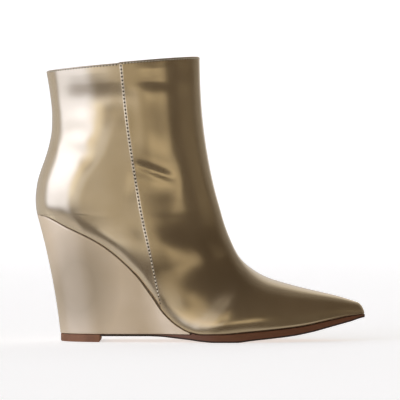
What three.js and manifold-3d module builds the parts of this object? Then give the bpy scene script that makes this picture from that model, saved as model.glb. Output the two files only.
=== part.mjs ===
// Heeled ankle boot for the right foot: a pointed toe, a covered wedge heel and a plain pull-on shaft.
// Millimetres, X forward to the toe, Y to the inner side of the foot, Z up, the floor at Z 0.
import * as THREE from 'three';
import Module from 'manifold-3d';

const wasm = await Module();
wasm.setup();

// Driving dimensions of the last and the shaft
const bootLength = 241.4;
const ballWidth = 78;
const seatWidth = 57;
const heelHeight = 92.2;
const instepHeight = 71.2;
const frontHeight = 207.2;
const backHeight = 197.2;
const shaftLength = 112.3;
const shaftWidth = 64;
const ankleHollow = 12.1;
const heelRound = 34;
const heelTaper = 0.96;
const toeRound = 4;
const toeDrop = 5.5;
const toeSwing = 7;
const sideBulge = 3;
const bulgeHeight = 14;

// Driving dimensions of the upper's wall
const wall = 2;
const seamStep = 0.7;
const seamFade = 12;
const frontLip = 0.6;
const toeFill = 13;

// Driving dimensions of the wedge, the outsole, the heel tip and the inner sole
const outsoleThickness = 5.6;
const toeSpring = 17.4;
const toeRise = 13.4;
const shankThickness = 1.3;
const wedgeLean = 18.1;
const wedgeBaseWidth = 49;
const wedgeHollow = 1.9;
const wedgeTail = 0.9;
const edgeMargin = 0.6;
const edgeBevel = 1.3;
const tipLength = 30;
const tipBevel = 0.8;
const tipInset = 0.4;
const insoleThickness = 2;
const insoleEase = 1.45;
const clearance = 0.3;

// How finely the faceted solids are drawn
const toeRows = 5;
const heelRows = 6;
const soleRows = 18;
const shaftRows = 12;
const rowColumns = 15;
const rowSamples = 160;
const outlineSteps = 34;
const wedgeLevels = 5;
const seamPoints = 24;
const profilePoints = 60;
const trimAllowance = 1;
const skirtDrop = 5;
const outside = 60;
const tiny = 1e-4;

// The outline of the foot from the heel (share 0) to the toe (share 1). rise: height of the feather line over
// the ball as a share of the heel's, spring: as a share of the toe's; lateral and medial: half widths as
// shares of the width there, which goes from the seat's to the ball's.
const footTable = [
  { share: 0.000, rise: 1.000, spring: 0.000, lateral: 0.476, medial: 0.476 },
  { share: 0.100, rise: 0.885, spring: 0.000, lateral: 0.480, medial: 0.480 },
  { share: 0.200, rise: 0.742, spring: 0.000, lateral: 0.495, medial: 0.492 },
  { share: 0.300, rise: 0.500, spring: 0.000, lateral: 0.486, medial: 0.470 },
  { share: 0.345, rise: 0.335, spring: 0.000, lateral: 0.470, medial: 0.440 },
  { share: 0.385, rise: 0.178, spring: 0.000, lateral: 0.462, medial: 0.424 },
  { share: 0.425, rise: 0.076, spring: 0.000, lateral: 0.466, medial: 0.418 },
  { share: 0.465, rise: 0.018, spring: 0.000, lateral: 0.478, medial: 0.420 },
  { share: 0.500, rise: 0.000, spring: 0.000, lateral: 0.490, medial: 0.432 },
  { share: 0.560, rise: 0.000, spring: 0.010, lateral: 0.504, medial: 0.468 },
  { share: 0.630, rise: 0.000, spring: 0.105, lateral: 0.487, medial: 0.485 },
  { share: 0.710, rise: 0.000, spring: 0.225, lateral: 0.424, medial: 0.436 },
  { share: 0.800, rise: 0.000, spring: 0.395, lateral: 0.323, medial: 0.336 },
  { share: 0.900, rise: 0.000, spring: 0.735, lateral: 0.196, medial: 0.204 },
  { share: 0.960, rise: 0.000, spring: 0.930, lateral: 0.113, medial: 0.116 },
  { share: 1.000, rise: 0.000, spring: 1.000, lateral: 0.060, medial: 0.060 },
];

// The underside of the outsole. lift: height under the shank as a share of the shank's own height,
// spring: height under the toe as a share of the toe spring. Both are nought on the flat of the ball.
const treadTable = [
  { share: 0.000, lift: 1.00, spring: 0.000 },
  { share: 0.330, lift: 1.00, spring: 0.000 },
  { share: 0.376, lift: 0.92, spring: 0.000 },
  { share: 0.420, lift: 0.67, spring: 0.000 },
  { share: 0.466, lift: 0.40, spring: 0.000 },
  { share: 0.500, lift: 0.15, spring: 0.000 },
  { share: 0.540, lift: 0.00, spring: 0.000 },
  { share: 0.605, lift: 0.00, spring: 0.000 },
  { share: 0.650, lift: 0.00, spring: 0.070 },
  { share: 0.710, lift: 0.00, spring: 0.150 },
  { share: 0.772, lift: 0.00, spring: 0.240 },
  { share: 0.833, lift: 0.00, spring: 0.390 },
  { share: 0.893, lift: 0.00, spring: 0.595 },
  { share: 0.955, lift: 0.00, spring: 0.810 },
  { share: 1.000, lift: 0.00, spring: 0.970 },
];

// The back of the boot from the heel (share 0) to the top line (share 1). hollow: how far the back comes
// forward as a share of the ankle's hollow; width: from the seat's half width (0) to the shaft's (1);
// round: from the heel's rounding (0) to half the shaft's length (1).
const backTable = [
  { share: -0.05, hollow: 0.190, width: 0.01, round: 0.00 },
  { share: 0.000, hollow: 0.107, width: 0.00, round: 0.00 },
  { share: 0.050, hollow: 0.035, width: 0.00, round: 0.00 },
  { share: 0.110, hollow: 0.000, width: 0.03, round: 0.03 },
  { share: 0.172, hollow: 0.030, width: 0.08, round: 0.07 },
  { share: 0.242, hollow: 0.125, width: 0.17, round: 0.15 },
  { share: 0.311, hollow: 0.300, width: 0.28, round: 0.25 },
  { share: 0.381, hollow: 0.520, width: 0.39, round: 0.37 },
  { share: 0.451, hollow: 0.720, width: 0.51, round: 0.51 },
  { share: 0.521, hollow: 0.870, width: 0.62, round: 0.63 },
  { share: 0.590, hollow: 0.965, width: 0.71, round: 0.74 },
  { share: 0.660, hollow: 1.000, width: 0.79, round: 0.83 },
  { share: 0.800, hollow: 0.920, width: 0.91, round: 0.95 },
  { share: 1.000, hollow: 0.645, width: 1.00, round: 1.00 },
];

// The sections of the upper, a fan from the toe to the top line. foot: where a section starts, measured
// from the toe back along the sole (up to 1) and then up the back of the boot (1 to 2); front: where it
// ends, forward of the shaft's front as a share of the way to the toe; vamp and shaft: the height of
// that end as shares of the instep height and of the rest up to the front height; close: the length
// over which the section closes at the front, as a share of its own; bulge: as a share of the side bulge.
const sectionTable = [
  { foot: 0.000, front: 1.0000, vamp: 0.368, shaft: 0.000, close: 1.00, bulge: 0.20 },
  { foot: 0.092, front: 0.8420, vamp: 0.455, shaft: 0.000, close: 1.00, bulge: 0.55 },
  { foot: 0.192, front: 0.6675, vamp: 0.526, shaft: 0.000, close: 0.99, bulge: 0.80 },
  { foot: 0.296, front: 0.5096, vamp: 0.596, shaft: 0.000, close: 0.97, bulge: 0.95 },
  { foot: 0.400, front: 0.3915, vamp: 0.665, shaft: 0.000, close: 0.93, bulge: 1.00 },
  { foot: 0.500, front: 0.3126, vamp: 0.745, shaft: 0.000, close: 0.87, bulge: 1.10 },
  { foot: 0.590, front: 0.2602, vamp: 0.821, shaft: 0.000, close: 0.80, bulge: 1.25 },
  { foot: 0.675, front: 0.2236, vamp: 0.905, shaft: 0.000, close: 0.72, bulge: 1.30 },
  { foot: 0.765, front: 0.1965, vamp: 1.000, shaft: 0.000, close: 0.64, bulge: 1.20 },
  { foot: 0.862, front: 0.1712, vamp: 1.000, shaft: 0.053, close: 0.57, bulge: 1.05 },
  { foot: 0.955, front: 0.1463, vamp: 1.000, shaft: 0.115, close: 0.53, bulge: 1.00 },
  { foot: 1.080, front: 0.1205, vamp: 1.000, shaft: 0.195, close: 0.51, bulge: 0.90 },
  { foot: 1.270, front: 0.0860, vamp: 1.000, shaft: 0.309, close: 0.50, bulge: 0.70 },
  { foot: 1.470, front: 0.0507, vamp: 1.000, shaft: 0.463, close: 0.50, bulge: 0.45 },
  { foot: 1.665, front: 0.0216, vamp: 1.000, shaft: 0.640, close: 0.50, bulge: 0.25 },
  { foot: 1.840, front: 0.0058, vamp: 1.000, shaft: 0.822, close: 0.50, bulge: 0.10 },
  { foot: 2.000, front: 0.0000, vamp: 1.000, shaft: 1.000, close: 0.50, bulge: 0.00 },
];

// The side seam in the side view. height: as a share of the front height; along: from the heel's back
// as a share of the boot's length.
const seamTable = [
  { height: 0.115, along: 0.379 },
  { height: 0.203, along: 0.363 },
  { height: 0.323, along: 0.343 },
  { height: 0.430, along: 0.324 },
  { height: 0.584, along: 0.302 },
  { height: 0.766, along: 0.281 },
  { height: 0.966, along: 0.264 },
];

// Curves through the tables

// A cubic through the knots with a continuous bend, straight on past its ends.
function smoothCurve(xs, ys) {
  const last = xs.length - 1;
  const bends = new Array(last + 1).fill(0);
  const factors = new Array(last + 1).fill(0);
  for (let i = 1; i < last; i++) {
    const before = xs[i] - xs[i - 1];
    const after = xs[i + 1] - xs[i];
    const pull = (ys[i + 1] - ys[i]) / after - (ys[i] - ys[i - 1]) / before;
    const pivot = 2 * (before + after) - before * factors[i - 1];
    factors[i] = after / pivot;
    bends[i] = (6 * pull - before * bends[i - 1]) / pivot;
  }
  for (let i = last - 1; i > 0; i--) bends[i] -= factors[i] * bends[i + 1];
  const value = (i, x) => {
    const width = xs[i + 1] - xs[i];
    const b = (x - xs[i]) / width;
    const a = 1 - b;
    const bend = (a ** 3 - a) * bends[i] + (b ** 3 - b) * bends[i + 1];
    return a * ys[i] + b * ys[i + 1] + bend * width * width / 6;
  };
  const startSlope = (value(0, xs[0] + tiny) - ys[0]) / tiny;
  const endSlope = (ys[last] - value(last - 1, xs[last] - tiny)) / tiny;
  return (x) => {
    if (x <= xs[0]) return ys[0] + (x - xs[0]) * startSlope;
    if (x >= xs[last]) return ys[last] + (x - xs[last]) * endSlope;
    let i = 0;
    while (x > xs[i + 1]) i++;
    return value(i, x);
  };
}

// A cubic through the knots that never passes them, so a level stretch of the table stays level.
function levelCurve(xs, ys) {
  const rate = (i) => (ys[i + 1] - ys[i]) / (xs[i + 1] - xs[i]);
  const slopes = ys.map((y, i) => {
    if (i === 0 || i === ys.length - 1) return 0;
    const before = rate(i - 1);
    const after = rate(i);
    return before * after <= 0 ? 0 : 2 * before * after / (before + after);
  });
  return (x) => {
    if (x <= xs[0]) return ys[0];
    if (x >= xs[xs.length - 1]) return ys[ys.length - 1];
    let i = 0;
    while (x > xs[i + 1]) i++;
    const width = xs[i + 1] - xs[i];
    const b = (x - xs[i]) / width;
    const a = 1 - b;
    return a * a * (1 + 2 * b) * ys[i] + b * b * (1 + 2 * a) * ys[i + 1]
      + a * b * width * (a * slopes[i] - b * slopes[i + 1]);
  };
}

const column = (table, name) => table.map((row) => row[name]);
const tableCurve = (make, table, key, name) => make(column(table, key), column(table, name));

const riseAt = tableCurve(levelCurve, footTable, 'share', 'rise');
const springAt = tableCurve(levelCurve, footTable, 'share', 'spring');
const lateralAt = tableCurve(smoothCurve, footTable, 'share', 'lateral');
const medialAt = tableCurve(smoothCurve, footTable, 'share', 'medial');
const treadLiftAt = tableCurve(levelCurve, treadTable, 'share', 'lift');
const treadSpringAt = tableCurve(levelCurve, treadTable, 'share', 'spring');
const hollowAt = tableCurve(smoothCurve, backTable, 'share', 'hollow');
const backWidthAt = tableCurve(smoothCurve, backTable, 'share', 'width');
const backRoundAt = tableCurve(smoothCurve, backTable, 'share', 'round');
const seamAt = tableCurve(smoothCurve, seamTable, 'height', 'along');

// A quarter of an ellipse: 0 at the closed end, 1 and level from a full closing length on.
function closing(share) {
  const rest = 1 - Math.min(Math.max(share, 0), 1);
  return Math.sqrt(1 - rest * rest);
}

function smoothStep(share) {
  const t = Math.min(Math.max(share, 0), 1);
  return t * t * (3 - 2 * t);
}

const mix = (a, b, share) => a + (b - a) * share;

// The foot's outline and the feather line, where the upper ends and the sole begins

const tipX = bootLength / 2;
const backX = (share) => -bootLength / 2 + ankleHollow * hollowAt(share);
const heelX = backX(0);
const footLength = tipX - heelX;
const shaftFrontX = backX(1) + shaftLength;
const shareOf = (x) => (x - heelX) / footLength;

const guideWidth = (share) => mix(seatWidth, ballWidth, smoothStep((share - 0.3) / 0.25));
const fullHalf = (share, side) => guideWidth(share) * (side < 0 ? lateralAt(share) : medialAt(share));

function outlineHalf(share, side) {
  const fromHeel = share * footLength * heelTaper;
  const fromToe = (1 - share) * footLength;
  return fullHalf(share, side) * closing(fromHeel / heelRound) * closing(fromToe / toeRound);
}

// The last swings to the inner side in front of the ball.
const centreY = (x) => toeSwing * Math.max(0, x / tipX) ** 2;

function featherZ(x) {
  const share = shareOf(x);
  return outsoleThickness + (heelHeight - outsoleThickness) * riseAt(share) + toeRise * springAt(share);
}

// A gap square to the feather line, measured straight down.
function featherGap(x) {
  const slope = (featherZ(x + tiny) - featherZ(x - tiny)) / (2 * tiny);
  return clearance * Math.hypot(1, slope);
}

// A point of the outline at a step from the heel (0) to the toe (1), drawn in by an inset, which is square
// to the outline. The steps crowd towards both ends, where the outline turns.
function outlinePoint(step, side, inset) {
  const at = (u) => {
    const share = (1 - Math.cos(Math.PI * u)) / 2;
    const turned = u < 0 || u > 1 ? -1 : 1;
    return new THREE.Vector2(heelX + share * footLength, turned * outlineHalf(share, side));
  };
  const here = at(step);
  const along = at(step + tiny).sub(at(step - tiny)).normalize();
  const x = here.x + along.y * inset;
  return new THREE.Vector2(x, side * (here.y - along.x * inset) + centreY(x));
}

const stepOfShare = (share) => Math.acos(1 - 2 * share) / Math.PI;

// Closed solids from hoops of points

function toManifold(points, faces) {
  const unique = new Map();
  const vertices = [];
  const index = points.map((p) => {
    const key = `${p.x.toFixed(4)},${p.y.toFixed(4)},${p.z.toFixed(4)}`.replaceAll('-0.0000', '0.0000');
    if (!unique.has(key)) {
      unique.set(key, vertices.length / 3);
      vertices.push(p.x, p.y, p.z);
    }
    return unique.get(key);
  });
  const triangles = faces.map((face) => face.map((i) => index[i]))
    .filter(([a, b, c]) => a !== b && b !== c && c !== a);
  return new wasm.Manifold(new wasm.Mesh({
    numProp: 3,
    vertProperties: new Float32Array(vertices),
    triVerts: new Uint32Array(triangles.flat()),
  }));
}

function toGeometry(solid) {
  const mesh = solid.getMesh();
  const geometry = new THREE.BufferGeometry();
  geometry.setAttribute('position', new THREE.BufferAttribute(Float32Array.from(mesh.vertProperties), 3));
  geometry.setIndex(new THREE.BufferAttribute(Uint32Array.from(mesh.triVerts), 1));
  return geometry;
}

// The faces between each hoop and the next, from the back of the boot forward. Point 0 of a hoop is its
// front or top, and the others go down the lateral side and come back up the medial one.
function sideFaces(hoopCount, size) {
  const faces = [];
  for (let i = 0; i + 1 < hoopCount; i++) {
    for (let j = 0; j < size; j++) {
      const next = (j + 1) % size;
      const a = i * size + j;
      const b = i * size + next;
      const c = (i + 1) * size + next;
      const d = (i + 1) * size + j;
      faces.push([a, b, c], [a, c, d]);
    }
  }
  return faces;
}

// A cap over one hoop, made of strips from the lateral side to the medial one.
function capFaces(hoop, size, atStart) {
  const faces = [];
  for (let j = 0; 2 * j + 1 < size; j++) {
    const a = hoop * size + j;
    const b = hoop * size + j + 1;
    const c = hoop * size + size - j - 1;
    const d = hoop * size + (size - j) % size;
    faces.push([a, b, c], [a, c, d]);
  }
  return atStart ? faces.map(([a, b, c]) => [a, c, b]) : faces;
}

function hoopSolid(hoops) {
  const size = hoops[0].length;
  const faces = [
    ...sideFaces(hoops.length, size),
    ...capFaces(0, size, true),
    ...capFaces(hoops.length - 1, size, false),
  ];
  return toManifold(hoops.flat(), faces);
}

// The same hoops moved along their surface's own normals by an amount given for each point.
function offsetHoops(hoops, amountAt) {
  const size = hoops[0].length;
  const points = hoops.flat();
  const keyOf = (p) => `${p.x.toFixed(3)},${p.y.toFixed(3)},${p.z.toFixed(3)}`.replaceAll('-0.000', '0.000');
  const normals = new Map();
  for (const [a, b, c] of sideFaces(hoops.length, size)) {
    const u = points[b].clone().sub(points[a]);
    const v = points[c].clone().sub(points[a]);
    const normal = u.cross(v);
    for (const i of [a, b, c]) {
      const key = keyOf(points[i]);
      if (!normals.has(key)) normals.set(key, new THREE.Vector3());
      normals.get(key).add(normal);
    }
  }
  return hoops.map((hoop) => hoop.map((p) => {
    const normal = normals.get(keyOf(p)).clone().normalize();
    return p.clone().addScaledVector(normal, amountAt(p));
  }));
}

// A prism across the whole width of the boot over an area of the side view.
function sidePrism(corners) {
  const shape = new THREE.Shape(corners.map(([x, z]) => new THREE.Vector2(x, z)));
  const geometry = new THREE.ExtrudeGeometry(shape, { depth: 2 * ballWidth, bevelEnabled: false });
  geometry.translate(0, 0, -ballWidth);
  geometry.rotateX(Math.PI / 2);
  const plain = geometry.index ? geometry.toNonIndexed() : geometry;
  const position = plain.getAttribute('position');
  const points = [];
  const faces = [];
  for (let i = 0; i < position.count; i++) {
    points.push(new THREE.Vector3().fromBufferAttribute(position, i));
    if (i % 3 === 2) faces.push([i - 2, i - 1, i]);
  }
  return toManifold(points, faces);
}

// The upper

const rowKeys = sectionTable.map((row, i) => i);
const footAt = smoothCurve(rowKeys, column(sectionTable, 'foot'));
const frontXAt = smoothCurve(rowKeys, sectionTable.map((row) => mix(shaftFrontX, tipX, row.front)));
const frontZAt = smoothCurve(rowKeys, sectionTable.map((row) =>
  instepHeight * row.vamp + (frontHeight - instepHeight) * row.shaft));
const closeAt = smoothCurve(rowKeys, column(sectionTable, 'close'));
const bulgeAt = smoothCurve(rowKeys, column(sectionTable, 'bulge'));

// The place between two bounds where a test stops being true.
function findEnd(low, high, test) {
  for (let i = 0; i < 60; i++) {
    const middle = (low + high) / 2;
    if (test(middle)) low = middle;
    else high = middle;
  }
  return high;
}

const rowOfFoot = (foot) => findEnd(0, rowKeys.length - 1, (row) => footAt(row) < foot);

// The section whose foot is the back end of the feather line.
const heelRow = rowOfFoot(1);

// The two ends of a section in the side view, and where its foot is: a share of the foot's length along the
// sole, or a share of the way up the back. Above the heel's corner the feet start at a share of their usual
// pace and reach all of it a short way up, so that the sections turn smoothly there.
const cornerStart = 0.2;
const cornerReach = 0.07;
function sectionEnds(row) {
  const foot = footAt(row);
  const onSole = row <= heelRow;
  const share = onSole ? Math.max(1 - foot, 0) : 0;
  const past = Math.max(foot - 1, 0);
  const up = onSole ? 0 : past * mix(cornerStart, 1, smoothStep(past / cornerReach));
  const soleX = heelX + share * footLength;
  const low = heelHeight - trimAllowance;
  const start = onSole
    ? new THREE.Vector2(soleX, featherZ(soleX) - trimAllowance)
    : new THREE.Vector2(backX(up), mix(low, backHeight, up));
  const fromToe = Math.max(tipX - frontXAt(row), 0);
  const frontZ = mix(start.y, frontZAt(row), closing(fromToe / toeDrop));
  const end = new THREE.Vector2(frontXAt(row), frontZ);
  return { onSole, share, up, start, end, reach: end.distanceTo(start) };
}

// The length over which a section closes at the front: a share of its own length, which is evened out behind
// the toe, so that it changes smoothly where the sections' feet turn up at the heel.
const evenReachAt = smoothCurve(rowKeys, rowKeys.map((row) => sectionEnds(row).reach));
const closeLength = (row) =>
  closeAt(row) * mix(sectionEnds(row).reach, evenReachAt(row), smoothStep(row - 2));

// One half of a section: its points from the front edge to its foot, at equal steps along the curve.
function sectionHalf(row, side) {
  const { onSole, share, up, start, end, reach } = sectionEnds(row);
  const half = onSole ? fullHalf(share, side)
    : mix(fullHalf(0, side), shaftWidth / 2, backWidthAt(up));
  const round = mix(heelRound, shaftLength / 2, onSole ? 0 : backRoundAt(up));
  const frontClose = Math.max(closeLength(row), tiny);
  const toe = closing(onSole ? (1 - share) * footLength / toeRound : 1);
  const pointAt = (distance) => {
    const spot = start.clone().lerp(end, reach > 0 ? distance / reach : 0);
    const height = (spot.y - featherZ(Math.max(spot.x, heelX))) / bulgeHeight;
    const swell = 1 - (1 - Math.min(height, 1)) ** 3;
    const width = half + sideBulge * bulgeAt(row) * swell;
    const y = width * closing((reach - distance) / frontClose) * toe
      * closing((share * footLength * heelTaper + distance) / round);
    return new THREE.Vector3(spot.x, side * y + centreY(spot.x), spot.y);
  };
  return evenPoints(pointAt, reach);
}

function evenPoints(pointAt, reach) {
  const distances = [];
  const lengths = [0];
  let before = null;
  for (let i = 0; i <= rowSamples; i++) {
    const distance = reach * (1 + Math.cos(Math.PI * i / rowSamples)) / 2;
    const point = pointAt(distance);
    distances.push(distance);
    if (before) lengths.push(lengths[i - 1] + point.distanceTo(before));
    before = point;
  }
  const total = lengths[rowSamples];
  const points = [];
  let i = 0;
  for (let k = 0; k <= rowColumns; k++) {
    const wanted = total * k / rowColumns;
    while (i < rowSamples - 1 && lengths[i + 1] < wanted) i++;
    const span = Math.max(lengths[i + 1] - lengths[i], tiny * tiny);
    points.push(pointAt(mix(distances[i], distances[i + 1], Math.min((wanted - lengths[i]) / span, 1))));
  }
  return points;
}

// A whole section as a hoop, with a skirt that hangs below the feather line and is trimmed off later.
function sectionHoop(row) {
  const lateral = sectionHalf(row, -1);
  const medial = sectionHalf(row, 1);
  const open = row > 0 && row < heelRow;
  const drop = new THREE.Vector3(0, 0, open ? -skirtDrop : 0);
  const foot = [lateral[rowColumns].clone().add(drop), medial[rowColumns].clone().add(drop)];
  return [...lateral, ...foot, ...medial.slice(1).reverse()];
}

// The sections from the first one to just above the top line, in order from the back of the boot.
function sectionRows(first) {
  const rows = [first];
  const last = rowKeys.length - 1;
  for (let i = 0; i < toeRows; i++) rows.push((i / toeRows) ** 2);
  for (let i = 0; i < soleRows; i++) rows.push(mix(1, heelRow - 1, i / soleRows));
  for (let i = heelRows; i > 0; i--) rows.push(heelRow - (i / heelRows) ** 2);
  for (let i = 0; i <= shaftRows; i++) rows.push(mix(heelRow, last, i / shaftRows));
  rows.push(last + 0.2);
  return rows.filter((row, i) => i === 0 || row > first).reverse();
}

const seamX = (z) => -bootLength / 2 + bootLength * seamAt(z / frontHeight);

function frontArea() {
  const corners = [];
  for (let i = 0; i <= seamPoints; i++) {
    const z = mix(-outside, frontHeight + outside, i / seamPoints);
    corners.push([seamX(z), z]);
  }
  corners.push([tipX + outside, frontHeight + outside], [tipX + outside, -outside]);
  return corners;
}

const topLineZ = (x) => mix(backHeight, frontHeight, (x - backX(1)) / shaftLength);

// The side view between the feather line and the top line, which steps up by a lip at the seam.
function upperArea() {
  const seamTop = seamX(topLineZ(seamX(frontHeight)));
  const front = tipX + outside;
  const back = -bootLength / 2 - outside;
  const corners = [
    [front, topLineZ(front) + frontLip],
    [seamTop, topLineZ(seamTop) + frontLip],
    [seamTop, topLineZ(seamTop)],
    [back, topLineZ(back)],
    [back, featherZ(heelX)],
  ];
  for (let i = 0; i <= profilePoints; i++) {
    const x = mix(heelX, tipX, i / profilePoints);
    corners.push([x, featherZ(x)]);
  }
  corners.push([front, featherZ(tipX)]);
  return corners.reverse();
}

// A hollow shell of one thickness. The rear panel dips behind the seam, so that the front panel laps over
// it by a step, and the pointed end of the toe is filled, as a stiffened toe is.
function makeUpper() {
  const hoops = sectionRows(0).map(sectionHoop);
  const rearDip = (p) => {
    const behind = Math.max(seamX(p.z) - p.x, 0) / seamFade;
    return -seamStep * Math.exp(-behind * behind);
  };
  const rear = hoopSolid(offsetHoops(hoops, rearDip));
  const front = hoopSolid(hoops).intersect(sidePrism(frontArea()));
  const cavityRows = sectionRows(rowOfFoot(toeFill / footLength));
  const cavity = hoopSolid(offsetHoops(cavityRows.map(sectionHoop), () => -wall));
  return rear.add(front).subtract(cavity).intersect(sidePrism(upperArea()));
}

// The wedge

const wedgeBase = outsoleThickness + clearance;

// Where the wedge has thinned to its tail, found on the falling part of the feather line.
const tailZ = wedgeBase + clearance + wedgeTail;
const tailShare = findEnd(0.2, 0.5, (share) => featherZ(heelX + share * footLength) > tailZ);
const tailStep = stepOfShare(tailShare);
const tailX = heelX + tailShare * footLength;
const baseBackX = -bootLength / 2 + wedgeLean;

// The outline of what stands on the floor: the wedge's base up to its tail, then the outsole's edge.
function groundPoint(step, side, inset) {
  if (step > tailStep) {
    const grown = edgeMargin * smoothStep((step - tailStep) / (1 - tailStep) * 4);
    const atToe = smoothStep((1 - step) * 4);
    return outlinePoint(step, side, inset - grown * atToe);
  }
  const along = Math.max((1 - Math.cos(Math.PI * step)) / 2 / tailShare, 0);
  const full = outlinePoint(step, side, inset);
  const x = mix(baseBackX + inset * (1 - along), tailX, along);
  return new THREE.Vector2(x, full.y * mix(wedgeBaseWidth / seatWidth, 1, along));
}

// A solid between outlines: each level gives the point of the outline at a step and a side.
function outlineSolid(steps, levels) {
  const hoops = steps.map((step) => [
    ...levels.map((level) => level(step, -1)),
    ...levels.map((level) => level(step, 1)).reverse(),
  ]);
  return hoopSolid(hoops);
}

const stepsBetween = (first, last, count) =>
  Array.from({ length: count + 1 }, (unused, i) => mix(first, last, i / count));

function makeWedge() {
  const level = (height) => (step, side) => {
    const top = outlinePoint(step, side, 0);
    const base = groundPoint(step, side, 0);
    const topZ = featherZ(top.x) - featherGap(top.x);
    const hollow = 4 * height * (1 - height) * wedgeHollow * (1 - step / tailStep);
    return new THREE.Vector3(
      mix(base.x, top.x, height) + hollow,
      mix(base.y, top.y, height) - side * hollow * step,
      mix(wedgeBase, topZ, height),
    );
  };
  const levels = stepsBetween(1, 0, wedgeLevels).map(level);
  return outlineSolid(stepsBetween(0, tailStep, outlineSteps), levels);
}

// The outsole and the heel tip

const tipFrontX = baseBackX + tipLength;

function stepAtGroundX(x) {
  return stepOfShare(tailShare * (x - baseBackX) / (tailX - baseBackX));
}

function treadZ(x) {
  const share = shareOf(x);
  const shankLift = outsoleThickness - shankThickness;
  return shankLift * treadLiftAt(share) + toeSpring * treadSpringAt(share);
}

// Under the wedge the outsole is thin. In front of the wedge's tail it is as thick as its edge shows.
function outsoleTopZ(x) {
  const ramp = smoothStep((x - tailX - clearance) / wedgeTail);
  return mix(outsoleThickness, featherZ(x) - featherGap(x), ramp);
}

function makeOutsole() {
  const bevelAt = (x) => Math.min(edgeBevel, (outsoleTopZ(x) - treadZ(x)) / 3);
  const edgePoint = (heightOf, insetShare) => (step, side) => {
    const full = groundPoint(step, side, 0);
    const plan = groundPoint(step, side, bevelAt(full.x) * insetShare);
    if (side * (plan.y - centreY(plan.x)) < 0) plan.set(full.x, centreY(full.x));
    return new THREE.Vector3(plan.x, plan.y, heightOf(plan.x));
  };
  const first = stepAtGroundX(tipFrontX + clearance);
  const steps = [
    ...stepsBetween(first, tailStep, outlineSteps / 2),
    ...stepsBetween(stepOfShare(shareOf(tailX + clearance)), 1, outlineSteps + outlineSteps / 2),
  ];
  return outlineSolid(steps, [
    edgePoint(outsoleTopZ, 0),
    edgePoint((x) => treadZ(x) + bevelAt(x), 0),
    edgePoint(treadZ, 1),
  ]);
}

function makeTopPiece() {
  const level = (z, inset) => (step, side) => {
    const plan = groundPoint(step, side, inset);
    return new THREE.Vector3(Math.min(plan.x, tipFrontX - inset), plan.y, z);
  };
  const last = stepAtGroundX(tipFrontX);
  return outlineSolid(stepsBetween(0, last, outlineSteps / 2), [
    level(outsoleThickness, tipInset),
    level(tipBevel, tipInset),
    level(0, tipInset + tipBevel),
  ]);
}

// The inner sole, which closes the bottom of the upper from inside

function makeInsole() {
  const inset = wall * insoleEase + clearance;
  const level = (lift) => (step, side) => {
    const plan = outlinePoint(step, side, inset);
    return new THREE.Vector3(plan.x, plan.y, featherZ(plan.x) + lift);
  };
  const end = 1 - (toeFill + clearance) / footLength;
  return outlineSolid(stepsBetween(0, stepOfShare(end), outlineSteps), [level(insoleThickness), level(0)]);
}

// The assembly

const parts = [
  { name: 'upper', make: makeUpper, color: 0xc4ae88, roughness: 0.25, metalness: 0.7 },
  { name: 'wedge', make: makeWedge, color: 0xb8a47f, roughness: 0.32, metalness: 0.6 },
  { name: 'outsole', make: makeOutsole, color: 0x8b5a37, roughness: 0.6, metalness: 0 },
  { name: 'top_piece', make: makeTopPiece, color: 0x7a4c2e, roughness: 0.65, metalness: 0 },
  { name: 'insole', make: makeInsole, color: 0xcdb795, roughness: 0.7, metalness: 0 },
];

const boot = new THREE.Group();
for (const { name, make, color, roughness, metalness } of parts) {
  const mesh = new THREE.Mesh(toGeometry(make()), new THREE.MeshStandardMaterial({ color, roughness, metalness }));
  mesh.name = name;
  boot.add(mesh);
}

// The origin is under the middle of the boot's box, on the floor.
const middle = new THREE.Box3().setFromObject(boot).getCenter(new THREE.Vector3());
boot.position.set(-middle.x, -middle.y, 0);

export default boot;
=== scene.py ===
import bmesh
import bpy
import numpy as np
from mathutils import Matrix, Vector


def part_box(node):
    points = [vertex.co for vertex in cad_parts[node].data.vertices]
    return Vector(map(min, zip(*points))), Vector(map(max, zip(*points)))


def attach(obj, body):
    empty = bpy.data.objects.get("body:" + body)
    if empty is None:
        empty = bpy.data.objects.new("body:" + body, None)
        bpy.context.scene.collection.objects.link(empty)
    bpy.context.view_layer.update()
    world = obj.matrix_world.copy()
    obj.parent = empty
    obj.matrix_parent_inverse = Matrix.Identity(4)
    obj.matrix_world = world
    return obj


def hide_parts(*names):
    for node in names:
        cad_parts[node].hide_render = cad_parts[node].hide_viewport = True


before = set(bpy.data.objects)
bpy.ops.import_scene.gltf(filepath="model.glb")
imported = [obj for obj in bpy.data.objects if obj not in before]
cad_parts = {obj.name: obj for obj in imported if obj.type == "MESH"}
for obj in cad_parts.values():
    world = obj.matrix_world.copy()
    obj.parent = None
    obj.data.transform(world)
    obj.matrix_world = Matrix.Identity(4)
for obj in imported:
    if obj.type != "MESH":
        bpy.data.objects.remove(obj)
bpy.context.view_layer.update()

# The inner sole: a board cut to the underside of the last, covered in pale soft leather. It follows the foot
# from the high heel down to the ball, and the upper is pulled over its edge and glued underneath.
boot_length = 0.2414
ball_width = 0.078
seat_width = 0.057
heel_height = 0.0922
ankle_hollow = 0.0121
heel_round = 0.034
heel_taper = 0.96
toe_round = 0.004
toe_swing = 0.007
toe_rise = 0.0134
outsole_thickness = 0.0056
edge_margin = 0.0006
widening_start = 0.3
widening_run = 0.25
plan_step = 1e-4
plan_samples = 400
merge_reach = 2e-6
tiny = 1e-7

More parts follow.
